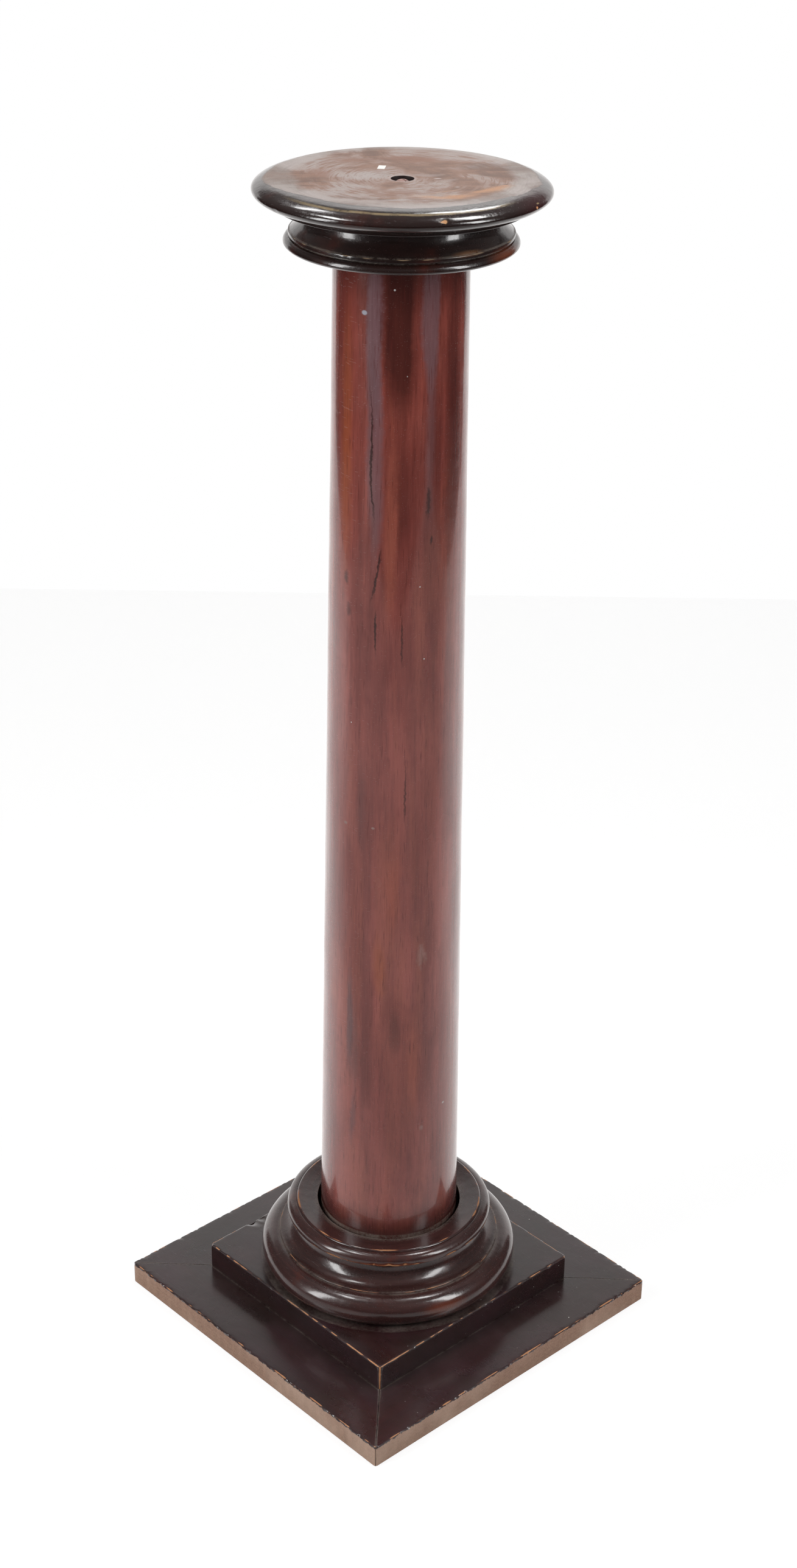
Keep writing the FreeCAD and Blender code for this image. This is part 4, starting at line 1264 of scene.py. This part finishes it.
def plate_profile(radius, low, high):
    """The round top's section, from the screw's bore out and back: fillet, full round nose and flat."""
    fillet = low + 4
    nose = fillet + (high - fillet) / 2
    profile = Profile((SCREW_BORE, low)).line((radius - 15.9, low)).worn(0.25)
    profile.line((radius - 15.9, fillet)).dusty(0.35, 1.0).line((radius - 15.1, fillet))
    profile.quarter((radius, fillet), (radius, nose)).quarter((radius, high), (radius - 19.3, high))
    profile.worn(0.5, 1.5, 28)
    floor = high - COUNTERBORE_DEPTH
    profile.line((COUNTERBORE, high)).worn(0.2, 0.6).line((COUNTERBORE, floor)).dusty(0.8, 2.0)
    return profile.line((SCREW_BORE, floor), (SCREW_BORE, low))


def capital_profile(edge, low, high):
    """The capital's section: bead, groove, fillet and a bowed neck up to the round top."""
    profile = Profile((TENON_HOLE, low)).line((edge - 4, low)).quarter((edge, low), (edge, low + 2.7))
    profile.quarter((edge, low + 7.4), (edge - 5, low + 7.4)).worn(0.3, 0.8)
    profile.line((edge - 6.1, low + 7.4)).dusty(0.9, 0.9).line((edge - 6.1, low + 8.5)).dusty(0.5, 0.8)
    profile.line((edge - 3.9, low + 8.5)).line((edge - 3.9, low + 11.5)).worn(1.1, 0.7)
    profile.line((edge - 4.9, low + 11.5)).dusty(0.7, 0.9).through(
        (edge - 7.1, low + 13.6),
        (edge - 9.1, low + 15.4),
        (edge - 11.4, low + 17.8),
        (edge - 13.2, low + 20.5),
        (edge - 14.4, low + 23.7),
        (edge - 15.15, low + 27.5),
        (edge - 15.5, high),
    )
    profile.dusty(0.5, 1.2)
    return profile.line((TENON_HOLE, high), (TENON_HOLE, low))


def torus_profile(radius, low, high):
    """The half-round ring on the plinth block."""
    tube = (high - low) / 2
    middle = low + tube
    profile = Profile((COLUMN_SOCKET, low)).line((radius - tube, low)).dusty(0.6, 1.2)
    profile.quarter((radius, low), (radius, middle))
    profile.quarter((radius, high), (radius - tube, high)).worn(0.25, 1.5)
    profile.line((SCOTIA_FOOT, high)).dusty(0.5, 1.5)
    return profile.line((COLUMN_SOCKET, high), (COLUMN_SOCKET, low))


def scotia_profile(low, high):
    """The hollow ring over the torus: foot, throat, nose, shoulder and the socket for the column."""
    foot, under, over = low + 1.4, low + 25.3, low + 35.1
    profile = Profile((COLUMN_SOCKET, low)).line((SCOTIA_FOOT, low)).dusty(0.6, 1.0)
    profile.line((SCOTIA_FOOT, foot)).worn(1.0, 0.7).line((101.3, foot)).dusty(0.5, 0.8)
    profile.quarter((SCOTIA_THROAT, foot), (SCOTIA_THROAT, low + 18.5))
    profile.quarter((SCOTIA_THROAT, under), (93.4, under)).line((SCOTIA_NOSE - 1, under))
    profile.quarter((SCOTIA_NOSE, under), (SCOTIA_NOSE, under + 1)).worn(1.2, 1.1)
    profile.line((SCOTIA_NOSE, low + 28.7)).quarter((SCOTIA_NOSE, over), (SCOTIA_TOP, over))
    profile.line((SCOTIA_TOP, low + 33.7)).dusty(0.5, 0.7)
    profile.line((SCOTIA_TOP, high - 1.0)).line((SCOTIA_TOP - 1.4, high)).worn(1.1, 0.8)
    return profile.line((COLUMN_SOCKET, high - 1.5)).dusty(0.8, 1.5).line((COLUMN_SOCKET, low))


# ---------------------------------------------------------------- operators


def begin_piece(context):
    """The sizes and the finishes of the scene, once the node groups are there."""
    make_groups()
    return context.scene.pedestal_sizes, context.scene.pedestal_finishes


class PEDESTAL_OT_stage(bpy.types.Operator):
    """Sets up the white sweep, the lamps and the camera"""

    bl_idname = "pedestal.stage"
    bl_label = "Stage"

    def execute(self, context):
        studio = context.scene.pedestal_studio
        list(white_sweep())
        for *placing, power in LAMPS:
            softbox(*placing, power * studio.lamp_level)
        room_world(studio.room_light)
        photo_camera()
        context.scene.view_settings.view_transform = "Standard"
        return {"FINISHED"}


class PEDESTAL_OT_round_top(bpy.types.Operator):
    """Turns the round top with its worn flat"""

    bl_idname = "pedestal.round_top"
    bl_label = "Round Top"

    def execute(self, context):
        sizes, finishes = begin_piece(context)
        low, high = level("top_plate", False), level("top_plate")
        profile = plate_profile(sizes.plate_radius / MM - 0.25, low, high - 0.02)
        dents = [
            ((101.6, -52.0, 1066.2), 3.3, 0.6, 1.35),
            ((100.2, -54.4, 1065.6), 2.2, 0.35, 1.25),
            ((17.5, -113.7, 1065.6), 1.7, 0.22, 0.3),
            ((24.8, -112.0, 1065.9), 1.3, 0.18, 0.2),
            ((112.8, -13.4, 1066.6), 1.8, 0.22, 0.3),
            ((110.0, -22.0, 1066.0), 1.4, 0.18, 0.2),
            ((-15.0, -115.0, 1061.0), 3.0, 0.4, 0.2),
        ]
        waves = Waves(21, (2, 9), (20.0, 60.0))
        piece = turned("round_top", profile, sizes.round_steps, waves, 0.10, sizes.handling_dents, dents)
        dress(piece, ["top_plate"], plate_material(finishes))
        return {"FINISHED"}


class PEDESTAL_OT_capital(bpy.types.Operator):
    """Turns the capital under the round top"""

    bl_idname = "pedestal.capital"
    bl_label = "Capital"

    def execute(self, context):
        sizes, finishes = begin_piece(context)
        low, high = level("capital", False), level("capital")
        profile = capital_profile(sizes.bead_radius / MM - 0.15, low, high)
        waves = Waves(22, (2, 9), (20.0, 60.0))
        dents = [
            ((62.0, -59.0, 1036.0), 3.5, 0.5, 0.9),
            ((80.0, -20.0, 1031.0), 3.0, 0.5, 1.0),
            ((30.0, -84.0, 1029.0), 3.0, 0.4, 0.6),
        ]
        piece = turned("capital_ring", profile, sizes.round_steps, waves, 0.08, sizes.handling_dents, dents)
        marks = [
            ((86.0, 30.0, 1025.0), (16, 34, 7), (0, 0, 19), 0.9, (0.20, 0.052, 0.022), 0.8),
            ((88.0, -12.0, 1032.0), (8, 22, 3), (0, 0, -8), 0.9, (0.23, 0.105, 0.045), 0.8),
        ]
        bare, rubbed = (0.36, 0.25, 0.15), (0.19, 0.125, 0.07)
        stain = tuple(finishes.varnish_dark)
        varnish = varnish_material("Capital varnish", finishes, stain, 0.45, bare, rubbed, marks)
        dress(piece, ["capital"], varnish)
        return {"FINISHED"}


class PEDESTAL_OT_column(bpy.types.Operator):
    """Wraps the column in its veneer"""

    bl_idname = "pedestal.column"
    bl_label = "Column Veneer"

    def execute(self, context):
        _, finishes = begin_piece(context)
        piece = column_skin(level("shaft_veneer", False), level("shaft_veneer"), COLUMN_STEPS)
        dress(piece, ["shaft_veneer"], veneer_material(finishes))
        return {"FINISHED"}


class PEDESTAL_OT_base_rings(bpy.types.Operator):
    """Turns the torus ring and the scotia ring at the column's foot"""

    bl_idname = "pedestal.base_rings"
    bl_label = "Base Rings"

    def execute(self, context):
        sizes, finishes = begin_piece(context)
        share = sizes.handling_dents
        low, high = level("base_torus_ring", False), level("base_torus_ring")
        torus = torus_profile(sizes.torus_radius / MM - 0.1, low, high)
        waves = Waves(23, (2, 9), (20.0, 60.0))
        dents = [((96.0, -70.0, 70.0), 3.0, 0.3, 0.3), ((84.0, -84.0, 62.0), 3.0, 0.3, 0.4)]
        marks = [
            ((66.0, -62.0, 102.0), (46, 46, 4.5), (0, 0, -43), 0.9, (0.24, 0.062, 0.026), 0.75),
            ((112.0, -32.0, 66.0), (14, 30, 8), (0, 0, -16), 0.9, (0.17, 0.040, 0.018), 0.7),
        ]
        stain, bare, rubbed = (0.042, 0.0160, 0.0145), tuple(finishes.bare_wood), (0.30, 0.11, 0.05)
        varnish = varnish_material("Ring varnish", finishes, stain, 0.9, bare, rubbed, marks)
        piece = turned("torus_ring", torus, sizes.round_steps, waves, 0.08, share, dents)
        dress(piece, ["base_torus_ring"], varnish)
        scotia = scotia_profile(level("base_scotia_ring", False), level("base_scotia_ring"))
        dents = [
            ((70.0, -64.0, 103.0), 4.0, 0.6, 1.0),
            ((60.0, -73.5, 103.0), 3.0, 0.5, 0.9),
            ((79.0, -52.0, 103.5), 3.5, 0.5, 0.9),
            ((57.0, -63.0, 113.0), 2.5, 0.4, 0.5),
        ]
        waves = Waves(24, (2, 9), (20.0, 60.0))
        piece = turned("scotia_ring", scotia, sizes.round_steps, waves, 0.08, share, dents)
        dress(piece, ["base_scotia_ring"], varnish)
        return {"FINISHED"}


class PEDESTAL_OT_plinth_block(bpy.types.Operator):
    """Makes the square plinth block with its eased and chipped arrises"""

    bl_idname = "pedestal.plinth_block"
    bl_label = "Plinth Block"

    def execute(self, context):
        sizes, finishes = begin_piece(context)
        half = sizes.block_side / MM / 2
        outline = rounded_square(half, 2.5, 1.0)
        low, high = level("plinth_block", False), level("plinth_block")
        dents = [
            ((half, -half, high), 3.6, 1.2, 1.3),
            ((-half, -half, high), 3.6, 1.2, 1.4),
            ((half, half, high), 3.0, 0.9, 1.2),
            ((-half, half, high), 3.0, 0.9, 1.1),
            ((-half, -69.0, high), 7.0, 1.9, 0.8),
            ((-half + 2, -59.0, high), 5.0, 0.9, 0.5),
            ((-half, 30.0, high), 3.0, 0.6, 0.8),
            ((half, -78.0, high), 1.6, 0.5, 0.9),
            ((half, 96.0, high), 2.2, 0.6, 1.0),
            ((half, 12.0, high), 1.8, 0.4, 0.9),
            ((-30.0, -half, high), 1.6, 0.4, 1.0),
            ((40.0, half, high), 2.4, 0.6, 1.0),
        ]
        waves = Waves(31, (11, 83), (20.0, 60.0), 26)
        share = sizes.handling_dents
        piece = moulded("plinth_block_wood", outline, high - low, low, 1.0, waves, share, dents)
        stain = foot_material(finishes, "Block stain", along_x=True, sawn=False)
        dress(piece, ["plinth_block"], stain)
        return {"FINISHED"}


class PEDESTAL_OT_frame_boards(bpy.types.Operator):
    """Makes the four mitred boards of the foot, with their bare sawn edges"""

    bl_idname = "pedestal.frame_boards"
    bl_label = "Frame Boards"

    def execute(self, context):
        sizes, finishes = begin_piece(context)
        low, high = node_box("frame_board_front")
        half, top = -float(low[1]), float(high[2])
        width = sizes.board_width / MM
        stains = {
            True: foot_material(finishes, "Board stain along X", True, True),
            False: foot_material(finishes, "Board stain along Y", False, True),
        }
        for quarter_turns, side in enumerate(("front", "right", "back", "left")):
            piece = frame_board("board_" + side, half, width, top, quarter_turns, sizes.handling_dents)
            dress(piece, ["frame_board_" + side], stains[quarter_turns % 2 == 0])
        return {"FINISHED"}


class PEDESTAL_OT_carcase(bpy.types.Operator):
    """Gives the hidden pine and steel pieces their materials"""

    bl_idname = "pedestal.carcase"
    bl_label = "Carcase and Screws"

    def execute(self, context):
        _, finishes = begin_piece(context)
        shown = [name for name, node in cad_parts.items() if not node.hide_render]
        steel = [name for name in shown if "screw" in name or "bolt" in name]
        clothe_nodes(steel, steel_material(finishes))
        clothe_nodes([name for name in shown if name not in steel], pine_material(finishes))
        return {"FINISHED"}


def column_skin(low, high, steps):
    """The column's veneer: a tapered tube, slightly flat over each stave, with its seam behind."""
    close = np.degrees(np.array([-0.9, -0.22, 0.22, 0.9]) / COLUMN_MEAN_RADIUS)
    angles = np.concatenate([np.linspace(0, 360, steps, endpoint=False), SEAM_ANGLE + close])
    angles = np.unique(angles)
    turn = np.radians(angles)[None, :]
    between = np.arange(low + 3.0, high - 1.0, 3.0)
    up = np.concatenate([[low, low + 0.4], between, [high - 0.4, high]])[:, None]
    share = (up - low) / (high - low)
    waves = Waves(41, (2, 9), (90.0, 420.0))
    dents = Waves(42, (9, 21), (40.0, 130.0), 20)
    stave = np.cos(STAVES * (turn - math.radians(STAVE_ANGLE)))
    joint = np.exp(-(((np.mod(np.degrees(turn) - STAVE_ANGLE + 22.5, 45) - 22.5) / 1.6) ** 2))
    uneven = 0.10 * waves(turn, up) + 0.022 * dents(turn, up) - 0.03 * stave - 0.05 * joint
    away = np.abs(np.mod(angles - SEAM_ANGLE + 180, 360) - 180) * math.pi / 180 * COLUMN_MEAN_RADIUS
    groove = np.where(away < 0.3, 0.4, 0.0)[None, :]
    outer = column_radius(share) + uneven - 0.12 - groove
    ends = [len(up) - 1, 0]
    inner = column_radius(share[ends]) - 0.88 + 0 * turn
    shell = np.concatenate([outer, inner])
    tall = np.concatenate([up, up[ends]]) + 0 * turn
    points = np.stack([shell * np.cos(turn), shell * np.sin(turn), tall], 2)
    faces = grid_faces(len(points), len(angles))
    return new_piece("column_veneer", points.reshape(-1, 3), faces, {})


def frame_board(name, half, width, top, quarter_turns, share):
    """One mitred board, drawn as the front one and turned by quarter turns."""
    gap, arris, corner = 0.5, 1.0, 3.0
    profile = Profile((arris, 0)).quarter((0, 0), (0, arris)).worn(0.35, 0.7)
    profile.line((0, top - arris)).quarter((0, top), (0.7 * arris, top - 0.05)).worn(1.1, 0.85)
    profile.line((arris, top), (width - 0.6, top)).quarter((width, top), (width, top - 0.6)).worn(0.3, 0.6)
    profile.line((width, 0.6)).quarter((width, 0), (width - 0.6, 0)).line((arris, 0))
    across, up, wear, _ = profile.sampled(soften=0.15, coarse=5.0, fine=0.3)
    tip = corner - corner / math.sqrt(2)
    stations = np.unique(np.concatenate([np.linspace(-1, 1, 361), 1 - np.geomspace(1e-3, 0.03, 12)]))
    stations = np.unique(np.concatenate([stations, -stations]))[None, :]
    across, up, wear = across[:, None], up[:, None], wear[:, None]
    reach = np.minimum(half - across, half - tip) - gap / 2 * math.sqrt(2)
    x = stations * reach
    past = np.clip(np.abs(x) - (half - corner), 0, corner)
    inset = (corner - np.sqrt(corner**2 - past**2)) * np.clip(1 - across / 8, 0, 1)
    waves = Waves(50 + quarter_turns, (0, 0), (9.0, 60.0), 24)
    chatter = np.clip(0.62 + 0.5 * waves(0.0, x + up), 0, 1.4)
    ends = np.clip((half - 2 - np.abs(x)) / 1.5, 0, 1) * 0.8 + 0.2
    rub = wear * chatter * np.where(across < 4, 1.0, ends)
    y = -half + across + inset + 0.12 * rub * (across < 4)
    z = up - 0.14 * rub * (up > top / 2)
    points = np.stack([x, y, z + 0 * x], 2)
    normals = np.zeros_like(points)
    normals[..., 1] = -math.sqrt(0.5)
    normals[..., 2] = math.sqrt(0.5)
    draw = np.random.default_rng(90 + quarter_turns)
    dents = []
    for place in draw.uniform(-half + 8, half - 8, 34):
        radius, depth, bareness = (draw.uniform(*span) for span in ((0.9, 2.4), (0.2, 0.7), (0.6, 1.1)))
        dents.append(((place, -half, top), radius, depth, bareness))
    dents.append(((-half, -half, top), 3.5, 0.9, 1.2))
    dent(points, normals, rub, dents, share)
    np.maximum(points[..., 1], -half, out=points[..., 1])
    rows, columns = points.shape[:2]
    faces = grid_faces(rows, columns, close_columns=False)
    faces.append([row * columns for row in range(rows)])
    faces.append([row * columns + columns - 1 for row in range(rows)][::-1])
    bare = ((across < 0.6) & (up < top - 0.4)) * np.ones(rub.shape)
    attributes = {"wear": rub.ravel(), "bare": bare.ravel()}
    piece = new_piece(name, points.reshape(-1, 3), faces, attributes)
    piece.data.polygons[-1].use_smooth = piece.data.polygons[-2].use_smooth = False
    piece.data.transform(Matrix.Rotation(math.pi / 2 * quarter_turns, 4, "Z"))
    return piece


# ---------------------------------------------------------------- stage

CAMERA_DISTANCE, CAMERA_HEIGHT = 1.92697, 1.54645
CAMERA_YAW, CAMERA_PITCH, CAMERA_ROLL = 0.0015, 0.4783, 0.0143
CAMERA_LENS, CAMERA_SHIFT = 57.849, 0.00055
PAPER_BACK, PAPER_BEND, PAPER_HALF_WIDTH = -1.7, 0.5, 2.0
LAMPS = (
    ("Left side lamp", -62, 22, 2.3, 0.60, (0.5, 1.8), 32),
    ("Right side lamp", 60, 33, 2.3, 0.60, (0.5, 1.5), 27),
    ("Left high lamp", -90, 60, 1.2, 1.06, (0.42, 0.20), 5.0),
    ("Right high lamp", 128, 62, 1.2, 1.06, (0.42, 0.20), 5.0),
    ("Left back lamp", -148, 46, 0.8, 1.06, (0.20, 0.07), 0.6),
    ("Right back lamp", 171, 31, 0.8, 1.06, (0.13, 0.05), 0.3),
)


def seen_from_camera(azimuth, elevation, distance, height):
    """A point that far from the column's axis at that height, at angles from the camera's direction."""
    turn = math.radians(VIEW_ANGLE + azimuth)
    flat = distance * math.cos(math.radians(elevation))
    rise = distance * math.sin(math.radians(elevation))
    return Vector((flat * math.cos(turn), flat * math.sin(turn), height + rise))


def softbox(name, azimuth, elevation, distance, height, size, power):
    """A rectangular lamp that the camera doesn't see, turned towards the column's axis."""
    lamp = bpy.data.lights.new(name, "AREA")
    lamp.shape = "RECTANGLE"
    lamp.size, lamp.size_y = size
    lamp.energy = power
    place = bpy.data.objects.new(name, lamp)
    place.location = seen_from_camera(azimuth, elevation, distance, height)
    aim = Vector((0, 0, height)) - place.location
    place.rotation_euler = aim.to_track_quat("-Z", "Y").to_euler()
    place.visible_camera = False
    bpy.context.scene.collection.objects.link(place)


def white_sweep():
    """A white paper floor that keeps the shadow, and the curved paper behind it, which only reflects."""
    start, bend = PAPER_BACK, PAPER_BEND
    floor = paper_sheet("Paper floor", [(1.8, 0.0), (0.6, 0.0), (-0.6, 0.0), (start, 0.0)], 0.52)
    turns = np.linspace(0, math.pi / 2, 13)
    curve = [(start - bend * math.sin(t), bend - bend * math.cos(t)) for t in turns]
    upright = [(start - bend, 1.2), (start - bend, 1.9)]
    backdrop = paper_sheet("Paper backdrop", curve + upright, 1.0)
    backdrop.visible_camera = False
    return floor, backdrop


def paper_sheet(name, line, front_glow):
    """A sheet across the view, through points (towards the camera, up)."""
    ahead, aside = Vector(AHEAD), Vector(ASIDE)
    widths = np.linspace(-PAPER_HALF_WIDTH, PAPER_HALF_WIDTH, 9)
    points = [ahead * a + aside * w + Vector((0, 0, z - 0.0002)) for a, z in line for w in widths]
    columns = len(widths)
    faces = [
        (r * columns + c, r * columns + c + 1, (r + 1) * columns + c + 1, (r + 1) * columns + c)
        for r in range(len(line) - 1)
        for c in range(columns - 1)
    ]
    mesh = bpy.data.meshes.new(name)
    mesh.from_pydata([tuple(p) for p in points], [], faces)
    for polygon in mesh.polygons:
        polygon.use_smooth = True
    sheet = bpy.data.objects.new(name, mesh)
    bpy.context.scene.collection.objects.link(sheet)
    mesh.materials.append(paper_material(name, front_glow))
    return sheet


def paper_material(name, front_glow):
    """Paper that lights the stand as white paper does, and looks white to the camera and in reflections.

    front_glow is how bright the part in front of the stand looks in reflections."""
    material = bpy.data.materials.new(name)
    material.use_nodes = True
    tree = material.node_tree
    tree.nodes.clear()
    graph = Graph(tree)
    paper = graph.add("ShaderNodeBsdfDiffuse", {"Color": (0.82, 0.81, 0.80)})
    faint = graph.add("ShaderNodeBsdfDiffuse", {"Color": (0.22, 0.22, 0.22)})
    glow = graph.add("ShaderNodeEmission", {"Color": (1.0, 1.0, 1.0), "Strength": 0.86})
    seen = graph.add("ShaderNodeAddShader")
    graph.put(seen.inputs[0], faint.outputs[0])
    graph.put(seen.inputs[1], glow.outputs[0])
    ray = graph.add("ShaderNodeLightPath")
    place = graph.add("ShaderNodeTexCoord").outputs["Object"]
    ahead = graph.vector("DOT_PRODUCT", place, AHEAD)
    level_seen = graph.smooth(ahead, -0.25, 0.45, 1.2, front_glow)
    fall = graph.smooth(graph.split(place)[2], 0.8, 1.45, 1.0, 0.72)
    level_seen = graph.times(level_seen, fall)
    mirrored = graph.add("ShaderNodeEmission", {"Color": (1.0, 0.98, 0.97), "Strength": level_seen})
    reflected = graph.add("ShaderNodeMixShader", {0: ray.outputs["Is Glossy Ray"]})
    graph.put(reflected.inputs[1], paper.outputs[0])
    graph.put(reflected.inputs[2], mirrored.outputs[0])
    mixed = graph.add("ShaderNodeMixShader", {0: ray.outputs["Is Camera Ray"]})
    graph.put(mixed.inputs[1], reflected.outputs[0])
    graph.put(mixed.inputs[2], seen.outputs[0])
    graph.add("ShaderNodeOutputMaterial", {"Surface": mixed.outputs[0]})
    return material


def room_world(brightness):
    """White to the camera; a grey room, darker below the horizon, for everything else."""
    world = bpy.data.worlds.new("Grey room")
    bpy.context.scene.world = world
    world.use_nodes = True
    tree = world.node_tree
    tree.nodes.clear()
    graph = Graph(tree)
    up = graph.split(graph.add("ShaderNodeTexCoord").outputs["Generated"])[2]
    strength = graph.smooth(up, -0.15, 0.75, brightness * 0.35, brightness * 1.5)
    room = graph.add("ShaderNodeBackground", {"Color": (1.0, 0.99, 0.98), "Strength": strength})
    white = graph.add("ShaderNodeBackground", {"Color": (1.0, 1.0, 1.0), "Strength": 1.0})
    ray = graph.add("ShaderNodeLightPath")
    mixed = graph.add("ShaderNodeMixShader", {0: ray.outputs["Is Camera Ray"]})
    graph.put(mixed.inputs[1], room.outputs[0])
    graph.put(mixed.inputs[2], white.outputs[0])
    graph.add("ShaderNodeOutputWorld", {"Surface": mixed.outputs[0]})


def photo_camera():
    """The camera at the place, the tilt and the lens that the photograph was taken with."""
    data = bpy.data.cameras.new("Photo camera")
    data.lens, data.sensor_width, data.sensor_fit = CAMERA_LENS, 36.0, "AUTO"
    data.shift_x = CAMERA_SHIFT
    data.clip_start, data.clip_end = 0.05, 50.0
    camera = bpy.data.objects.new("Photo camera", data)
    bpy.context.scene.collection.objects.link(camera)
    forward = Vector(
        (
            math.sin(CAMERA_YAW) * math.cos(CAMERA_PITCH),
            math.cos(CAMERA_YAW) * math.cos(CAMERA_PITCH),
            -math.sin(CAMERA_PITCH),
        )
    )
    right = forward.cross(Vector((0, 0, 1))).normalized()
    upward = right.cross(forward)
    tilted_right = right * math.cos(CAMERA_ROLL) + upward * math.sin(CAMERA_ROLL)
    tilted_up = upward * math.cos(CAMERA_ROLL) - right * math.sin(CAMERA_ROLL)
    stand = (0.0, -CAMERA_DISTANCE, CAMERA_HEIGHT)
    rows = [[tilted_right[k], tilted_up[k], -forward[k], stand[k]] for k in range(3)]
    place = Matrix(rows + [[0, 0, 0, 1]])
    camera.matrix_world = Matrix.Rotation(math.radians(VIEW_ANGLE + 90), 4, "Z") @ place
    bpy.context.scene.camera = camera


# ---------------------------------------------------------------- panel and registration

OPERATORS = (
    PEDESTAL_OT_stage,
    PEDESTAL_OT_round_top,
    PEDESTAL_OT_capital,
    PEDESTAL_OT_column,
    PEDESTAL_OT_base_rings,
    PEDESTAL_OT_plinth_block,
    PEDESTAL_OT_frame_boards,
    PEDESTAL_OT_carcase,
)


class PEDESTAL_PT_panel(bpy.types.Panel):
    """Lists the pedestal's pieces, sizes and finishes"""

    bl_idname = "PEDESTAL_PT_panel"
    bl_label = "Pedestal Column Stand"
    bl_space_type = "VIEW_3D"
    bl_region_type = "UI"
    bl_category = "Pedestal"

    def draw(self, context):
        layout, scene = self.layout, context.scene
        for operator in OPERATORS:
            layout.operator(operator.bl_idname)
        for settings in (scene.pedestal_sizes, scene.pedestal_finishes, scene.pedestal_studio):
            box = layout.box()
            for name in settings.__annotations__:
                box.prop(settings, name)


SETTINGS = {
    "pedestal_sizes": PedestalSizes,
    "pedestal_finishes": PedestalFinishes,
    "pedestal_studio": PedestalStudio,
}


def register():
    for settings in SETTINGS.values():
        bpy.utils.register_class(settings)
    for name, settings in SETTINGS.items():
        setattr(bpy.types.Scene, name, bpy.props.PointerProperty(type=settings))
    for operator in OPERATORS:
        bpy.utils.register_class(operator)
    bpy.utils.register_class(PEDESTAL_PT_panel)


def unregister():
    bpy.utils.unregister_class(PEDESTAL_PT_panel)
    for operator in reversed(OPERATORS):
        bpy.utils.unregister_class(operator)
    for name in SETTINGS:
        delattr(bpy.types.Scene, name)
    for settings in SETTINGS.values():
        bpy.utils.unregister_class(settings)


def main():
    register()
    for operator in OPERATORS:
        group, name = operator.bl_idname.split(".")
        getattr(getattr(bpy.ops, group), name)()


if __name__ == "__main__":
    main()
